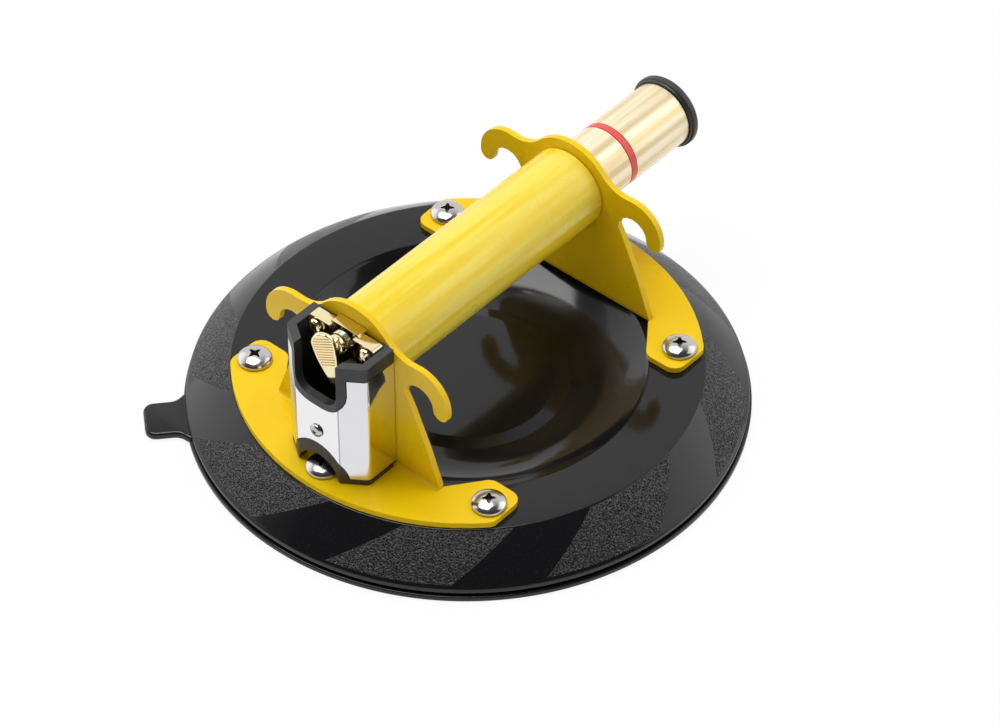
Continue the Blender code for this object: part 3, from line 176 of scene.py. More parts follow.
def to_object(name, shape, spot=None):
    """Makes an object of a shape at its spot, with its faces turned out."""
    if spot is not None:
        shape.transform(spot)
    bmesh.ops.recalc_face_normals(shape, faces=shape.faces)
    if shape.calc_volume(signed=True) < 0:
        bmesh.ops.reverse_faces(shape, faces=shape.faces)
    mesh = bpy.data.meshes.new(name)
    shape.to_mesh(mesh)
    shape.free()
    made = bpy.data.objects.new(name, mesh)
    bpy.context.scene.collection.objects.link(made)
    return made


def apply_modifiers(target):
    """Turns what the modifiers make into the object's own mesh."""
    graph = bpy.context.evaluated_depsgraph_get()
    mesh = bpy.data.meshes.new_from_object(target.evaluated_get(graph))
    old = target.data
    target.modifiers.clear()
    target.data = mesh
    bpy.data.meshes.remove(old)


def boolean(target, tool, operation="DIFFERENCE"):
    """Cuts the tool from the target, or joins it on, and takes the tool away. Its own finish goes along."""
    step = target.modifiers.new("boolean", "BOOLEAN")
    step.object = tool
    step.operation = operation
    step.material_mode = "TRANSFER" if tool.data.materials else "INDEX"
    apply_modifiers(target)
    bpy.data.objects.remove(tool, do_unlink=True)


def round_edges(target, width, segments, angle):
    """Adds a bevel to the edges that are sharper than the angle."""
    edge = target.modifiers.new("edge", "BEVEL")
    edge.width = width
    edge.segments = segments
    edge.limit_method = "ANGLE"
    edge.angle_limit = math.radians(angle)
    return edge


def smooth(target, angle=30):
    """Smooth shading, with edges sharper than the angle kept crisp."""
    target.data.shade_smooth()
    target.data.set_sharp_from_angle(angle=math.radians(angle))


def add_node(tree, kind, values, **settings):
    """Adds a shader node. Values go to its inputs: a socket is linked, and anything else is set."""
    made = tree.nodes.new(kind)
    for key, value in settings.items():
        setattr(made, key, value)
    for key, value in values.items():
        if isinstance(value, bpy.types.NodeSocket):
            tree.links.new(value, made.inputs[key])
        else:
            made.inputs[key].default_value = value
    return made


def calc(tree, operation, *values):
    """The result of a Math node."""
    return add_node(tree, "ShaderNodeMath", dict(enumerate(values)), operation=operation).outputs[0]


def noise(tree, where, scale, detail=2.0, roughness=0.5):
    """A noise value at the given coordinates."""
    values = {"Vector": where, "Scale": scale, "Detail": detail, "Roughness": roughness}
    return add_node(tree, "ShaderNodeTexNoise", values).outputs[0]


def share_between(tree, value, low, high):
    """How far a value has come on the way from low to high, from zero to one."""
    values = {"Value": value, "From Min": low, "From Max": high}
    return add_node(tree, "ShaderNodeMapRange", values).outputs[0]


def spread(tree, share, low, high):
    """The value at a share of the way from low to high."""
    return add_node(tree, "ShaderNodeMapRange", {"Value": share, "To Min": low, "To Max": high}).outputs[0]


def blend_colour(tree, share, first, second):
    """The colour at a share of the way from the first to the second."""
    first, second = (c if isinstance(c, bpy.types.NodeSocket) else (*c, 1.0) for c in (first, second))
    mix = add_node(tree, "ShaderNodeMix", {"Factor": share, 6: first, 7: second}, data_type="RGBA")
    return mix.outputs[2]


def start_material(name, colour=None, metallic=0.0):
    """A new material. Returns it with its tree, its shader and the object's coordinates."""
    made = bpy.data.materials.new(name)
    made.use_nodes = True
    tree = made.node_tree
    shader = tree.nodes["Principled BSDF"]
    if colour:
        shader.inputs["Base Color"].default_value = (*colour, 1.0)
    shader.inputs["Metallic"].default_value = metallic
    coordinates = tree.nodes.new("ShaderNodeTexCoord").outputs["Object"]
    return made, tree, shader, coordinates


def add_relief(tree, shader, height, depth):
    """Feeds a height to the shader's normal. Depth is how far a height of one stands up."""
    bump = add_node(tree, "ShaderNodeBump", {"Height": height, "Strength": 1.0, "Distance": depth})
    tree.links.new(bump.outputs[0], shader.inputs["Normal"])


# The handling marks that every finish but the plunger tube's shares: broad patches where hands have
# polished or dulled it, and a little fine dust.
handling = bpy.data.node_groups.new("handling_marks", "ShaderNodeTree")
handling.interface.new_socket("Place", in_out="INPUT", socket_type="NodeSocketVector")
for label in ("Patch Size", "Speck Size"):
    handling.interface.new_socket(label, in_out="INPUT", socket_type="NodeSocketFloat")
for label in ("Patches", "Specks"):
    handling.interface.new_socket(label, in_out="OUTPUT", socket_type="NodeSocketFloat")
given = handling.nodes.new("NodeGroupInput").outputs
result = handling.nodes.new("NodeGroupOutput").inputs
patches = noise(handling, given["Place"], calc(handling, "DIVIDE", 1.0, given["Patch Size"]), 4.0, 0.6)
specks = noise(handling, given["Place"], calc(handling, "DIVIDE", 1.0, given["Speck Size"]))
handling.links.new(share_between(handling, patches, 0.35, 0.65), result["Patches"])
handling.links.new(share_between(handling, specks, 0.6, 0.75), result["Specks"])


def place_marks(tree, where, patch_size, speck_size=0.6 * MM):
    """Puts the handling marks in a material. Returns their patches and specks."""
    values = {"Place": where, "Patch Size": patch_size, "Speck Size": speck_size}
    return add_node(tree, "ShaderNodeGroup", values, node_tree=handling).outputs


FIELD_COUNT = 8
FIELD_START = 12.0
FIELD_SHARE = 26 / 45
FIELD_SWIRL = 0.95
GRAIN_OUTER = 99.6 * MM
GRAIN_INNER = 84.7 * MM
GRAIN_LOWEST = 5.0 * MM
PEBBLE_SCALE = 1700.0
GRIT_SCALE = 3000.0
GRIT_SHARE = 0.5
RIPPLE_SCALE = 90.0
RIPPLE_SHARE = 0.09
RUBBER_RELIEF = 0.4 * MM
CREST_RANGE = (0.42, 0.95)
SMOOTH_ROUGHNESS = (0.07, 0.11)
GRAIN_ROUGHNESS = 0.22
SMOOTH_SHINE = 0.38
GRAIN_SHINE = (0.08, 0.6)
RUBBER_BLACK = (0.007, 0.007, 0.008)
DUSTY_BLACK = (0.014, 0.014, 0.015)
GRAIN_HOLLOW_SHADE = (0.001, 0.001, 0.001)
GRAIN_CREST_LIGHT = (0.038, 0.038, 0.039)
pad_centre = Vector((box_middle("pad_ring")[0], 0, 0))

# The grained fields lie between two radii. Their ends lean back by FIELD_SWIRL degrees for each
# millimetre inwards, and a field fills FIELD_SHARE of its eighth of the turn.
pad_rubber, tree, shader, where = start_material("pad_rubber")
axes = add_node(tree, "ShaderNodeSeparateXYZ", {0: where}).outputs
across = calc(tree, "SUBTRACT", axes["X"], pad_centre.x)
angle = calc(tree, "DEGREES", calc(tree, "ARCTAN2", axes["Y"], across))
squares = [calc(tree, "MULTIPLY", side, side) for side in (across, axes["Y"])]
distance = calc(tree, "SQRT", calc(tree, "ADD", *squares))
inward = calc(tree, "DIVIDE", calc(tree, "SUBTRACT", GRAIN_OUTER, distance), MM)
unwound = calc(tree, "SUBTRACT", angle, calc(tree, "MULTIPLY", inward, FIELD_SWIRL))
turns = calc(tree, "DIVIDE", calc(tree, "SUBTRACT", unwound, FIELD_START), 360 / FIELD_COUNT)
part_of_turn = calc(tree, "FRACT", calc(tree, "ADD", turns, float(FIELD_COUNT)))
limits = (
    calc(tree, "LESS_THAN", distance, GRAIN_OUTER),
    calc(tree, "GREATER_THAN", distance, GRAIN_INNER),
    calc(tree, "GREATER_THAN", axes["Z"], GRAIN_LOWEST),
)
in_grain = calc(tree, "LESS_THAN", part_of_turn, FIELD_SHARE)
for limit in limits:
    in_grain = calc(tree, "MULTIPLY", in_grain, limit)

voronoi = {"Vector": where, "Scale": PEBBLE_SCALE, "Randomness": 1.0}
cells = add_node(tree, "ShaderNodeTexVoronoi", voronoi, feature="SMOOTH_F1").outputs["Distance"]
pebbles = calc(tree, "ADD", cells, calc(tree, "MULTIPLY", noise(tree, where, GRIT_SCALE), GRIT_SHARE))
leather = calc(tree, "MULTIPLY", pebbles, in_grain)
ripple = calc(tree, "MULTIPLY", noise(tree, where, RIPPLE_SCALE, 3.0), RIPPLE_SHARE)
add_relief(tree, shader, calc(tree, "ADD", leather, ripple), RUBBER_RELIEF)
marks = place_marks(tree, where, 35 * MM, 0.8 * MM)
smooth_gloss = spread(tree, marks["Patches"], *SMOOTH_ROUGHNESS)
gloss = calc(tree, "ADD", smooth_gloss, calc(tree, "MULTIPLY", in_grain, GRAIN_ROUGHNESS))
tree.links.new(gloss, shader.inputs["Roughness"])
# The grain's crests are painted lighter than the rubber and its hollows near black: painted light on the
# crests and painted shade in the hollows.
crests = share_between(tree, pebbles, *CREST_RANGE)
smooth_tint = blend_colour(tree, marks["Specks"], RUBBER_BLACK, DUSTY_BLACK)
grain_light_and_shade = blend_colour(tree, crests, GRAIN_HOLLOW_SHADE, GRAIN_CREST_LIGHT)
tree.links.new(blend_colour(tree, in_grain, smooth_tint, grain_light_and_shade), shader.inputs["Base Color"])
shine = spread(tree, in_grain, SMOOTH_SHINE, spread(tree, crests, *GRAIN_SHINE))
tree.links.new(shine, shader.inputs["Specular IOR Level"])

# The pad's profile, from its middle out along the underside and back over the top.
CHAMBER_EDGE = 80.3
CHAMBER_HEIGHT = 5.2
LIP_FLAT = 8
LIP_SLOPE = 4.5
LIP_TOP = 2.2
RIM_SETBACK = 0.9
RIM_UNDERCUT = 1.6
RIM_BOTTOM = 3.1
RIM_SIDE_TOP = 5.2
RIM_TOP = 5.8
RIM_CHAMFER = 0.8
SLOPE_STEPS = 8
SLOPE_SWELL = 0.06
SEAT_EDGE = 84.3
SEAT_WIDTH = 20.9
SEAT_GAP = 0.3 * MM
SEAT_ROUND = 0.8
WALL_WIDTH = 22.4
FLOOR_HEIGHT = 9.2
DISC_SETBACK = 9.5
DISC_SLOPE = 5
DISC_RISE = 0.9
lip = -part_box("rubber_pad")[0][1] / MM
rim = lip - RIM_SETBACK
slope_start = rim - RIM_CHAMFER
seat_height = (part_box("valve_end_bracket")[0][2] - SEAT_GAP) / MM
seat_inner = SEAT_EDGE - SEAT_WIDTH
wall_top = seat_height - SEAT_ROUND
floor_edge = seat_inner - WALL_WIDTH
disc_edge = floor_edge - DISC_SETBACK
disc_top = FLOOR_HEIGHT + DISC_RISE
pad_corners = [
    (0, CHAMBER_HEIGHT, 0), (CHAMBER_EDGE, CHAMBER_HEIGHT, 1), (lip - LIP_FLAT - LIP_SLOPE, RIM_BOTTOM, 2),
    (lip - LIP_FLAT, 0, 0.5), (lip, 0, 0.6), (lip, LIP_TOP, 0.5), (rim - RIM_UNDERCUT, LIP_TOP, 0.3),
    (rim - RIM_UNDERCUT, RIM_BOTTOM, 0.4), (rim, RIM_BOTTOM, 0.4), (rim, RIM_SIDE_TOP, 0.8),
    (slope_start, RIM_TOP, 0.6),
]
for i in range(1, SLOPE_STEPS):
    share = i / SLOPE_STEPS
    rise = (seat_height - RIM_TOP) * (share + SLOPE_SWELL * math.sin(share * math.pi))
    pad_corners.append((slope_start - (slope_start - SEAT_EDGE) * share, RIM_TOP + rise, 0))
pad_corners += [
    (SEAT_EDGE, seat_height, 0.9), (seat_inner + 1, seat_height, 0.8), (seat_inner, wall_top, 1),
]
for i in range(1, SLOPE_STEPS + 1):
    share = i / SLOPE_STEPS
    height = FLOOR_HEIGHT + (wall_top - FLOOR_HEIGHT) * (1 - share) ** 2
    pad_corners.append((seat_inner - (seat_inner - floor_edge) * share, height, 0))
pad_corners += [(disc_edge + DISC_SLOPE, FLOOR_HEIGHT, 3), (disc_edge, disc_top, 3), (0, disc_top, 0)]
pad_shape = lathe(fillet(pad_corners, 4, closed=False), PAD_SEGMENTS, closed=False)
pad = to_object("pad", pad_shape, Matrix.Translation(pad_centre))

# The pull tab widens where it runs into the lip.
TAB_TURN = math.radians(138.7)
TAB_START = 93.5
TAB_END = 115.9
TAB_HALF_WIDTH = 8.25
TAB_FLARE = 3.5
TAB_OVERLAP = 0.3
TAB_BOTTOM = 0.4 * MM
TAB_TOP = 3.4 * MM
tab_foot = TAB_HALF_WIDTH + TAB_FLARE
tab_root = math.sqrt((lip - TAB_OVERLAP) ** 2 - tab_foot**2)
tab_side = [
    (TAB_START, tab_foot, 0), (tab_root, tab_foot, 0), (tab_root + TAB_FLARE, TAB_HALF_WIDTH, 5),
    (TAB_END, TAB_HALF_WIDTH, 4),
]
tab_outline = fillet([(x, -y, radius) for x, y, radius in tab_side] + tab_side[::-1], 8)
tab_spot = Matrix.Translation(pad_centre) @ Matrix.Rotation(TAB_TURN, 4, "Z")
tab = to_object("tab", prism(tab_outline, TAB_BOTTOM, TAB_TOP), tab_spot)
round_edges(tab, 0.9 * MM, 4, 40)
apply_modifiers(tab)
boolean(pad, tab, "UNION")

HOLE_RADIUS = 3.3 * MM
HOLE_BOTTOM = 9.0 * MM
HOLE_TOP = 20 * MM
hole = [(0, HOLE_BOTTOM), (HOLE_RADIUS, HOLE_BOTTOM), (HOLE_RADIUS, HOLE_TOP), (0, HOLE_TOP)]
for name in SCREW_NAMES:
    x, y, _ = box_middle(f"pad_screw_{name}")
    drill = lathe(hole, HOLE_SEGMENTS, closed=False)
    boolean(pad, to_object("hole", drill, Matrix.Translation((x, y, 0))))
smooth(pad)
pad.data.materials.append(pad_rubber)
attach(pad, "frame")
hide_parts("rubber_pad")

# Brackets and grip tube: two brackets pressed from 2.3 mm steel sheet, each with two carrying hooks
# and a wide foot, and the drawn steel tube that is welded between them. All three are powder-coated
# yellow together. The tube's coat is painted a lighter lemon yellow, as painted light.
YELLOW = (0.86, 0.565, 0.002)
# The tube's yellow is lighter and more lemon than the brackets' though the coat is one: painted light.
LIT_TUBE_YELLOW = (0.84, 0.60, 0.008)
HIGHLIGHT_STREAK_YELLOW = (0.86, 0.69, 0.08)
SPECK_SHADE = 0.97
COAT_ROUGHNESS = (0.25, 0.28)
PEEL_SCALE = 900.0
PEEL_HEIGHT = 0.006
DRAW_SCALE = 260.0
DRAW_HEIGHT = 0.35
HIGHLIGHT_STREAK_RANGE = (0.42, 0.6)


def dress(name, finish, bevel=0.0, angle=30):
    """Gives a carried-over solid its finish and softened edges."""
    solid = nodes[name]
    solid.data.materials.clear()
    solid.data.materials.append(finish)
    solid.data.shade_smooth()
    weld = solid.modifiers.new("weld", "WELD")
    weld.merge_threshold = 1e-6
    flat = solid.modifiers.new("flat", "DECIMATE")
    flat.decimate_type = "DISSOLVE"
    flat.angle_limit = math.radians(0.3)
    if bevel:
        round_edges(solid, bevel, 3, angle).harden_normals = True
    normal = solid.modifiers.new("normal", "WEIGHTED_NORMAL")
    normal.keep_sharp = True


def wear_gloss(tree, shader, where, patch_size, roughness, speck_size=0.6 * MM):
    """Lets the handling marks vary the roughness between two values. Returns the marks."""
    marks = place_marks(tree, where, patch_size, speck_size)
    tree.links.new(spread(tree, marks["Patches"], *roughness), shader.inputs["Roughness"])
    return marks


def along_tube(tree, where, share):
    """Coordinates that change slowly along X, so that a noise in them is drawn out along a tube."""
    axes = add_node(tree, "ShaderNodeSeparateXYZ", {0: where}).outputs
    values = {"X": calc(tree, "MULTIPLY", axes["X"], share), "Y": axes["Y"], "Z": axes["Z"]}
    return add_node(tree, "ShaderNodeCombineXYZ", values).outputs[0]


def powder_coat(name, colour, draw_height=0.0):
    """The coat with its fine orange peel. A drawn tube shows soft lengthwise waves too, with lighter
    streaks along them that are painted highlights.
    """
    coat, tree, shader, where = start_material(name)
    height = calc(tree, "MULTIPLY", noise(tree, where, PEEL_SCALE, roughness=0.4), PEEL_HEIGHT)
    marks = wear_gloss(tree, shader, where, 30 * MM, COAT_ROUGHNESS, 0.7 * MM)
    tone = blend_colour(tree, marks["Specks"], colour, [SPECK_SHADE * c for c in colour])
    if draw_height:
        waves = noise(tree, along_tube(tree, where, 0.05), DRAW_SCALE, 1.0)
        height = calc(tree, "ADD", height, calc(tree, "MULTIPLY", waves, draw_height))
        # Lighter streaks along the waves: painted highlights.
        tone = blend_colour(tree, share_between(tree, waves, *HIGHLIGHT_STREAK_RANGE), tone, HIGHLIGHT_STREAK_YELLOW)
    add_relief(tree, shader, height, 1.0 * MM)
    tree.links.new(tone, shader.inputs["Base Color"])
    shader.inputs["Specular IOR Level"].default_value = 0.6 if draw_height else 0.3
    return coat


yellow_coat = powder_coat("yellow_coat", YELLOW)
for name in ("valve_end_bracket", "plunger_end_bracket"):
    dress(name, yellow_coat, 0.65 * MM)
dress("grip_tube", powder_coat("lit_tube_coat", LIT_TUBE_YELLOW, DRAW_HEIGHT), 0.3 * MM)

# Pad screws: six polished steel pan-head screws with cross recesses, through the feet into the
# ring that is moulded into the pad. The recesses are painted dark, as painted shade. The guard's own
# small screw is of the same kind.
HEAD_HEIGHT = 3.3 * MM
SHANK_RADIUS = 3.0 * MM
GUARD_HEAD_HEIGHT = 1.43 * MM
GUARD_SHANK_RADIUS = 1.0 * MM
GUARD_RECESS_TURN = math.radians(25)
HEAD_SEGMENTS = 64
HEAD_SIDE = 0.2
DOME_STEPS = 12
RECESS_ARM = 0.56
RECESS_ROOT = 0.17
RECESS_TIP = 0.07
RECESS_FLOOR = 0.3
RECESS_NARROWING = 0.4
RECESS_TURNS = dict(zip(SCREW_NAMES, (-6, 20, 41, 38, 10, 41)))


def plain_finish(name, colour, metallic, patch_size, roughness):
    """A finish of one colour, whose roughness varies with handling."""
    made, tree, shader, where = start_material(name, colour, metallic)
    wear_gloss(tree, shader, where, patch_size, roughness)
    return made


screw_steel = plain_finish("screw_steel", (0.55, 0.54, 0.53), 1.0, 3 * MM, roughness=(0.14, 0.24))
# The recess finish is dark as painted shade in the recesses.
recess_shade_steel = plain_finish("recess_shade_steel", (0.10, 0.09, 0.08), 1.0, 2 * MM, roughness=(0.35, 0.5))


def cross_screw(name, node, radius, height, shank_radius, shank_length, spot):
    """A pan-head screw about Z with its head's underside at zero, and a tapered cross recess."""
    profile = [
        (0, -shank_length), (shank_radius * 0.7, -shank_length),
        (shank_radius, shank_radius * 0.3 - shank_length), (shank_radius, 0),
        (radius * 0.97, 0), (radius, radius * 0.03), (radius, height * HEAD_SIDE),
    ]
    for i in range(1, DOME_STEPS):
        turn = math.radians(90 * i / DOME_STEPS)
        dome = HEAD_SIDE + (1 - HEAD_SIDE) * math.sin(turn)
        profile.append((radius * math.cos(turn), height * dome))
    profile.append((0, height))
    head = to_object(name, lathe(profile, HEAD_SEGMENTS, closed=False))
    head.data.materials.append(screw_steel)
    arm, root, tip = radius * RECESS_ARM, radius * RECESS_ROOT, radius * RECESS_TIP
    outline = []
    for quarter in range(4):
        turn = Matrix.Rotation(math.radians(90 * quarter), 2)
        for point in ((root * 1.3, -root), (arm, -tip), (arm, tip), (root * 1.3, root)):
            outline.append(tuple(turn @ Vector(point)))
    recess = prism(outline, height * RECESS_FLOOR, height * 1.5)
    for vertex in recess.verts:
        if vertex.co.z < height:
            vertex.co.x *= RECESS_NARROWING
            vertex.co.y *= RECESS_NARROWING
    cutter = to_object("recess", recess)
    cutter.data.materials.append(recess_shade_steel)
    boolean(head, cutter)
    round_edges(head, radius * 0.02, 2, 35)
    apply_modifiers(head)
    head.data.transform(spot)
    smooth(head, 35)
    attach(head, "frame")
    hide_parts(node)


for name, turn in RECESS_TURNS.items():
    node = f"pad_screw_{name}"
    low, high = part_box(node)
    x, y, _ = box_middle(node)
    seat = Vector((x, y, high[2] - HEAD_HEIGHT))
    spot = Matrix.Translation(seat) @ Matrix.Rotation(math.radians(turn), 4, "Z")
    radius = (high[0] - low[0]) / 2
    cross_screw(f"{node}_fine", node, radius, HEAD_HEIGHT, SHANK_RADIUS, seat.z - low[2], spot)
low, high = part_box("guard_screw")
seat = Vector((low[0] + GUARD_HEAD_HEIGHT, 0, box_middle("guard_screw")[2]))
outward = Matrix.Rotation(math.radians(-90), 4, "Y")
spot = Matrix.Translation(seat) @ outward @ Matrix.Rotation(GUARD_RECESS_TURN, 4, "Z")
cross_screw(
    "guard_screw_fine", "guard_screw", (high[1] - low[1]) / 2, GUARD_HEAD_HEIGHT, GUARD_SHANK_RADIUS,
    high[0] - seat.x, spot,
)

# Plunger: a thin drawn brass tube with soft lengthwise marks, whose colour is painted in lengthwise
# streaks of light and shade, a red plastic ring that shows when the vacuum drops, and a black plastic
# cap pressed into its end. It slides in a black plastic bush.
BRASS_PAINTED_SHADE = (0.78, 0.62, 0.34)
BRASS_PAINTED_LIGHT = (0.98, 0.88, 0.66)
RED = (0.80, 0.075, 0.07)
BLACK = (0.026, 0.026, 0.027)
FINE_SCALE = 1500.0
GLINT_RANGE = (0.38, 0.62)
TUBE_ROUGHNESS = (0.3, 0.42)
BROAD_HEIGHT = 0.08
FINE_HEIGHT = 0.01
SPARK_SCALE = 2500.0
pale_brass, tree, shader, where = start_material("pale_brass", metallic=0.7)
drawn = along_tube(tree, where, 0.04)
broad_marks = noise(tree, drawn, DRAW_SCALE)
fine_marks = noise(tree, drawn, FINE_SCALE)
# The colour is painted in lengthwise streaks of light and shade: painted highlights and painted shade.
painted_glint = share_between(tree, broad_marks, *GLINT_RANGE)
tree.links.new(blend_colour(tree, painted_glint, BRASS_PAINTED_SHADE, BRASS_PAINTED_LIGHT), shader.inputs["Base Color"])
tree.links.new(spread(tree, fine_marks, *TUBE_ROUGHNESS), shader.inputs["Roughness"])
waves = calc(tree, "MULTIPLY", broad_marks, BROAD_HEIGHT)
scratches = calc(tree, "MULTIPLY", fine_marks, FINE_HEIGHT)
add_relief(tree, shader, calc(tree, "ADD", waves, scratches), 1.0 * MM)
dress("plunger_tube", pale_brass, 0.15 * MM)
red_plastic = plain_finish("red_plastic", RED, 0.0, 4 * MM, roughness=(0.26, 0.36))
dress("indicator_band", red_plastic, 0.1 * MM)

black_plastic, tree, shader, where = start_material("black_plastic", BLACK)
add_relief(tree, shader, noise(tree, where, SPARK_SCALE), 0.02 * MM)
wear_gloss(tree, shader, where, 10 * MM, roughness=(0.32, 0.45))

CAP_THICKNESS = 4.0
CAP_RADIUS = 14.3
CAP_NECK = 13.4
CAP_FACE_EDGE = 12.2
CAP_FACE = 3.7
PLUG_RADIUS = 11.0
CAP_SEGMENTS = 96
ALONG_X = Matrix.Rotation(math.radians(90), 4, "Y")
low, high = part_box("plunger_cap")
cap_back = high[0] - CAP_THICKNESS * MM
plug_back = (low[0] - cap_back) / MM
cap_corners = [
    (0, plug_back, 0), (PLUG_RADIUS, plug_back, 0.8), (PLUG_RADIUS, 0, 0), (CAP_NECK, 0, 0.3),
    (CAP_NECK + 0.2, 0.6, 0.2), (CAP_RADIUS, 1.0, 0.4), (CAP_RADIUS, 3.0, 0.8),
    (CAP_NECK, CAP_THICKNESS, 0.6), (CAP_FACE_EDGE, CAP_THICKNESS, 0.3),
    (CAP_FACE_EDGE - 0.3, CAP_FACE, 0.2), (0, CAP_FACE, 0),
]
cap_spot = Matrix.Translation((cap_back, 0, box_middle("plunger_cap")[2])) @ ALONG_X
cap_shape = lathe(fillet(cap_corners, 4, closed=False), CAP_SEGMENTS, closed=False)
cap = to_object("cap", cap_shape, cap_spot)
smooth(cap)
cap.data.materials.append(black_plastic)
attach(cap, "plunger")
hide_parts("plunger_cap")
dress("guide_bush", black_plastic, 0.2 * MM)

# Valve body: a polished brass block with two ears, screwed to the bracket over the barrel's end.
# The stem, the pad's fitting, the piston and the pump barrel are turned from the same brass.
brass = plain_finish("brass", (0.90, 0.77, 0.48), 1.0, 4 * MM, roughness=(0.07, 0.16))
for name in ("valve_body", "valve_screw_left", "valve_screw_right"):
    dress(name, brass, 0.25 * MM, 35)
for name in ("valve_stem", "pad_fitting", "piston", "pump_barrel"):
    dress(name, brass)

# Release lever: a brass thumb leaf with fine grooves across it, cast in one with a hub. The hub has
# a collar and a neck, and sits on the end of the valve stem.
LEAF_HALF = 4.2 * MM
LEAF_TIP_HALF = 0.7 * MM
LEAF_LENGTH = 23.0 * MM
LEAF_THICKNESS = 1.8 * MM
LEAF_SWELL = 0.9
LEAF_STEPS = 18
LEAF_ROUND_STEPS = 16
LEAF_TURN = math.radians(24)
LEAF_LEAN = math.radians(12)
LEAF_DROP = 3.4 * MM
LEAF_SINK = 0.6 * MM
GROOVE_COUNT = 11
GROOVE_PITCH = 1.15 * MM
GROOVE_START = 2.0 * MM
GROOVE_HALF = 0.24
GROOVE_ROUND = 0.2
GROOVE_DEPTH = 0.45 * MM
GROOVE_MARGIN = 0.75 * MM
STEM_HEAD = 3.2 * MM
HUB_LENGTH = 5.4
HUB_RADIUS = 3.5
HUB_BORE = 1.55
COLLAR_RADIUS = 3.7
NECK_RADIUS = 2.9
HUB_SEGMENTS = 64
hub_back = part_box("release_lever")[1][0]
hub_front = hub_back - HUB_LENGTH * MM
valve_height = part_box("valve_stem")[0][2] + STEM_HEAD


def leaf_half_width(y):
    """Half the leaf's width at a height from its widest line, round above and drawn out below."""
    if y > 0:
        return math.sqrt(max(LEAF_HALF**2 - y**2, 0))
    share = min(-y / (LEAF_LENGTH - LEAF_HALF), 1)
    return LEAF_TIP_HALF + (LEAF_HALF - LEAF_TIP_HALF) * math.cos(share * math.pi / 2) ** LEAF_SWELL


leaf_side = []
for i in range(LEAF_STEPS + 1):
    y = (LEAF_HALF - LEAF_LENGTH) * (1 - i / LEAF_STEPS)
    leaf_side.append((leaf_half_width(y), y))
for i in range(1, LEAF_ROUND_STEPS):
    turn = math.radians(90 * i / LEAF_ROUND_STEPS)
    leaf_side.append((LEAF_HALF * math.cos(turn), LEAF_HALF * math.sin(turn)))
leaf_outline = leaf_side + [(0, LEAF_HALF)] + [(-x, y) for x, y in reversed(leaf_side)]
leaf = to_object("lever", prism(leaf_outline, 0, LEAF_THICKNESS))
round_edges(leaf, 0.35 * MM, 3, 50)
apply_modifiers(leaf)
for i in range(GROOVE_COUNT):
    y = LEAF_HALF - GROOVE_START - GROOVE_PITCH * i
    reach = (min(leaf_half_width(y), leaf_half_width(y - 0.4 * MM)) - GROOVE_MARGIN) / MM
    groove_corners = [
        (-reach, -GROOVE_HALF, GROOVE_ROUND), (reach, -GROOVE_HALF, GROOVE_ROUND),
        (reach, GROOVE_HALF, GROOVE_ROUND), (-reach, GROOVE_HALF, GROOVE_ROUND),
    ]
    groove = prism(fillet(groove_corners, 3), LEAF_THICKNESS - GROOVE_DEPTH, LEAF_THICKNESS + 1.0 * MM)
    boolean(leaf, to_object("groove", groove, Matrix.Translation((0, y, 0))))
facing = Matrix((
    (math.sin(LEAF_TURN), 0, -math.cos(LEAF_TURN), 0),
    (-math.cos(LEAF_TURN), 0, -math.sin(LEAF_TURN), 0),
    (0, 1, 0, 0),
    (0, 0, 0, 1),
))
leaf_spot = Matrix.Translation((hub_front + LEAF_SINK, 0, valve_height - LEAF_DROP)) @ facing
leaf_spot = leaf_spot @ Matrix.Rotation(LEAF_LEAN, 4, "Z")
leaf.data.transform(leaf_spot @ Matrix.Translation((0, LEAF_LENGTH / 2 - LEAF_HALF, 0)))
hub_corners = [
    (HUB_BORE, 0, 0), (COLLAR_RADIUS, 0, 0.4), (COLLAR_RADIUS, -1.9, 0.4), (NECK_RADIUS, -2.3, 0.2),
    (NECK_RADIUS, -2.9, 0.2), (HUB_RADIUS, -3.2, 0.3), (HUB_RADIUS, -HUB_LENGTH, 0.3),
    (HUB_BORE, -HUB_LENGTH, 0),
]
hub_spot = Matrix.Translation((hub_back, 0, valve_height)) @ ALONG_X
boolean(leaf, to_object("hub", lathe(fillet(hub_corners, 3), HUB_SEGMENTS), hub_spot), "UNION")
smooth(leaf, 35)
leaf.data.materials.append(brass)
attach(leaf, "lever")
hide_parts("release_lever")

# Springs, hose clips and pad ring: the springs are bright round wire. The pump spring is shut in the
# barrel, and the valve spring shows between the block and the hub. The clips are of the same steel,
# and the ring is plain steel.
spring_steel = plain_finish("spring_steel", (0.72, 0.66, 0.55), 1.0, 2 * MM, roughness=(0.16, 0.28))


def coil(name, radius, wire, start, end, turns, axis_height, per_turn=32, sides=10):
    """A helical spring along X. Radius is the helix's, and wire is half the wire's thickness."""
    total = turns * per_turn
    shape = bmesh.new()
    rows = []
    for i in range(total + 1):
        turn = math.tau * i / per_turn
        outward = Vector((0, math.cos(turn), math.sin(turn)))
        along = start + wire + (end - start - 2 * wire) * i / total
        middle = Vector((along, 0, axis_height)) + outward * radius
        row = []
        for k in range(sides):
            spoke = math.tau * k / sides
            reach = outward * math.cos(spoke) + Vector((math.sin(spoke), 0, 0))
            row.append(shape.verts.new(middle + wire * reach))
        rows.append(row)
    for back, front in zip(rows, rows[1:]):
        for k in range(sides):
            shape.faces.new((back[k], front[k], front[(k + 1) % sides], back[(k + 1) % sides]))
    shape.faces.new(rows[0])
    shape.faces.new(rows[-1])
    made = to_object(name, shape)
    smooth(made, 60)
    made.data.materials.append(spring_steel)
    return made


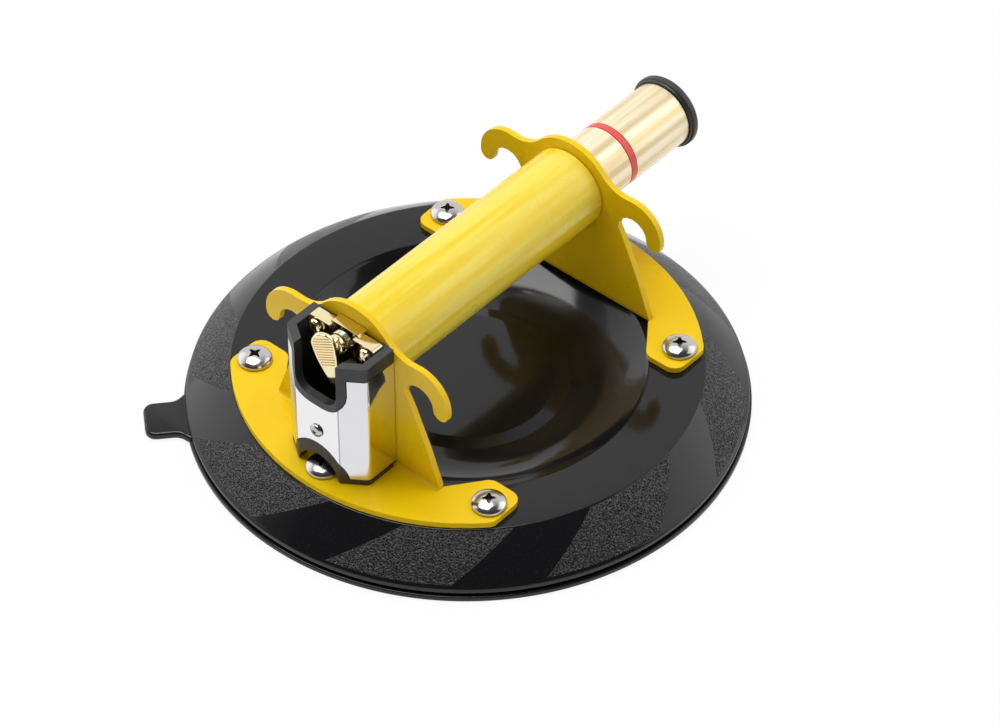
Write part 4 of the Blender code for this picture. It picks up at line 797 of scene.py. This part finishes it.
low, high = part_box("pump_spring")
pump_height = box_middle("grip_tube")[2]
pump_coil = coil(
    "pump_coil", radius=10.3 * MM, wire=0.7 * MM, start=low[0], end=high[0], turns=9,
    axis_height=pump_height, per_turn=24, sides=8,
)
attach(pump_coil, "frame")
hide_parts("pump_spring")
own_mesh(pump_coil)
low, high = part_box("valve_spring")
valve_coil = coil(
    "valve_coil", radius=3.35 * MM, wire=0.42 * MM, start=low[0], end=high[0], turns=3,
    axis_height=valve_height,
)
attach(valve_coil, "frame")
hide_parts("valve_spring")
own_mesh(valve_coil)
for name in ("hose_clip_lower", "hose_clip_upper"):
    dress(name, spring_steel)
dress("pad_ring", plain_finish("ring_steel", (0.5, 0.5, 0.51), 1.0, 10 * MM, roughness=(0.35, 0.5)))

# Hose, seals and valve flap: soft black rubber, matt as moulded. The hose is pushed over the barbs of
# the pad's fitting and of the valve body, and the two clips hold it there.
seal_rubber = plain_finish("seal_rubber", (0.016, 0.016, 0.017), 0.0, 5 * MM, roughness=(0.42, 0.58))
for name in ("vacuum_hose", "release_seal", "one_way_valve", "piston_seal"):
    dress(name, seal_rubber)

# Guard: a black plastic liner round the lever, with a folded cover of bright steel let into it. The
# cover's front and slants have a soft sheen, and its flanks mirror. The slants are painted darker, as
# painted shade, and a darker line of painted shade runs along each bend.
# The front's normal leans up a little, as on sheet that is slightly bowed.
FLANK_START = 6.4 * MM
FRONT_DEPTH = 0.05 * MM
SLANT_WIDTH = 1.2 * MM
BEND_HALF = 0.22 * MM
FRONT_LEAN = 0.16
FRONT_ROUGHNESS = (0.16, 0.22)
FLANK_ROUGHNESS = (0.04, 0.08)
FRONT_STEEL = (0.86, 0.86, 0.87)
SHADED_SLANT_STEEL = (0.74, 0.74, 0.76)
BEND_SHADE_STEEL = (0.42, 0.42, 0.43)
dress("guard_liner", black_plastic, 0.35 * MM)
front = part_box("guard_cover")[0][0]
cover_points = [vertex.co for vertex in nodes["guard_cover"].data.vertices]
front_half = max(abs(point.y) for point in cover_points if point.x < front + FRONT_DEPTH)
bright_steel, tree, shader, where = start_material("bright_steel", metallic=1.0)
axes = add_node(tree, "ShaderNodeSeparateXYZ", {0: where}).outputs
on_flank = calc(tree, "GREATER_THAN", axes["X"], front + FLANK_START)
on_front = calc(tree, "SUBTRACT", 1.0, on_flank)
side = calc(tree, "ABSOLUTE", axes["Y"])
slant = share_between(tree, side, front_half, front_half + SLANT_WIDTH)
# The slants' darker steel and the dark line along each bend are painted shade.
tone = blend_colour(tree, calc(tree, "MULTIPLY", slant, on_front), FRONT_STEEL, SHADED_SLANT_STEEL)
from_bend = calc(tree, "ABSOLUTE", calc(tree, "SUBTRACT", side, front_half + SLANT_WIDTH / 2))
bend = calc(tree, "MULTIPLY", calc(tree, "LESS_THAN", from_bend, BEND_HALF), on_front)
tree.links.new(blend_colour(tree, bend, tone, BEND_SHADE_STEEL), shader.inputs["Base Color"])
marks = place_marks(tree, where, 8 * MM)
sheen = spread(tree, marks["Patches"], *FRONT_ROUGHNESS)
mirror = spread(tree, marks["Patches"], *FLANK_ROUGHNESS)
tree.links.new(spread(tree, on_flank, sheen, mirror), shader.inputs["Roughness"])
lean = add_node(tree, "ShaderNodeCombineXYZ", {"Z": calc(tree, "MULTIPLY", on_front, FRONT_LEAN)})
outward = tree.nodes.new("ShaderNodeNewGeometry").outputs["Normal"]
leaning = add_node(tree, "ShaderNodeVectorMath", {0: outward, 1: lean.outputs[0]}, operation="ADD")
leaning = add_node(tree, "ShaderNodeVectorMath", {0: leaning.outputs[0]}, operation="NORMALIZE")
tree.links.new(leaning.outputs[0], shader.inputs["Normal"])
dress("guard_cover", bright_steel, 0.2 * MM)

# Studio: a white sweep under the cup and three soft lamps, one above it and one at each side.
# The side that the photograph is taken from is dim, so that the bright steel and the rubber have
# something dark to mirror.
FLOOR_HALF = 3.0
FLOOR_DROP = 0.2 * MM
PAPER_GREY = (0.9, 0.9, 0.9, 1.0)
WHITE = (1.0, 1.0, 1.0, 1.0)
PAPER_GLOW = 0.92
ROOM_LIGHT = 0.32
DIM_RANGE = (-0.02, 0.6)
DIM_WALL = 0.06


def seen_outright(tree):
    """One for rays from the camera, a mirror or glass, and zero for those that only carry light."""
    ray = tree.nodes.new("ShaderNodeLightPath").outputs
    mirrored = calc(tree, "MAXIMUM", ray["Is Glossy Ray"], ray["Is Transmission Ray"])
    return calc(tree, "MAXIMUM", ray["Is Camera Ray"], mirrored)


floor_shape = bmesh.new()
for x, y in ((-1, -1), (1, -1), (1, 1), (-1, 1)):
    floor_shape.verts.new((x * FLOOR_HALF, y * FLOOR_HALF, -FLOOR_DROP))
floor_shape.faces.new(floor_shape.verts)
floor = to_object("floor", floor_shape)
paper = bpy.data.materials.new("paper")
paper.use_nodes = True
tree = paper.node_tree
tree.nodes.clear()
diffuse = add_node(tree, "ShaderNodeBsdfDiffuse", {"Color": PAPER_GREY})
glow = add_node(tree, "ShaderNodeEmission", {"Color": WHITE, "Strength": 1.0})
share = calc(tree, "MULTIPLY", seen_outright(tree), PAPER_GLOW)
mix = add_node(tree, "ShaderNodeMixShader", {0: share, 1: diffuse.outputs[0], 2: glow.outputs[0]})
add_node(tree, "ShaderNodeOutputMaterial", {"Surface": mix.outputs[0]})
floor.data.materials.append(paper)
floor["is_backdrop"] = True

world = bpy.data.worlds.new("studio")
bpy.context.scene.world = world
world.use_nodes = True
tree = world.node_tree
tree.nodes.clear()
way = tree.nodes.new("ShaderNodeTexCoord").outputs["Generated"]
both = {0: way, 1: tuple(outlook)}
toward_camera = add_node(tree, "ShaderNodeVectorMath", both, operation="DOT_PRODUCT").outputs["Value"]
wall = spread(tree, share_between(tree, toward_camera, *DIM_RANGE), 1.0, DIM_WALL)
strength = spread(tree, seen_outright(tree), ROOM_LIGHT, wall)
backdrop = add_node(tree, "ShaderNodeBackground", {"Color": WHITE, "Strength": strength})
add_node(tree, "ShaderNodeOutputWorld", {"Surface": backdrop.outputs[0]})


def soft_lamp(name, spot, size, power):
    """A large square lamp that looks at the cup."""
    data = bpy.data.lights.new(name, "AREA")
    data.shape = "SQUARE"
    data.size = size
    data.energy = power
    lamp = bpy.data.objects.new(name, data)
    bpy.context.scene.collection.objects.link(lamp)
    lamp.location = spot
    lamp.rotation_mode = "QUATERNION"
    lamp.rotation_quaternion = (-Vector(spot)).to_track_quat("-Z", "Y")


soft_lamp("top_lamp", (-0.05, 0.3, 1.27), size=0.8, power=13.0)
soft_lamp("left_lamp", (-0.35, 1.35, 0.45), size=1.6, power=5.0)
soft_lamp("right_lamp", (0.95, -0.75, 0.8), size=1.2, power=5.0)

low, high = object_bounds()
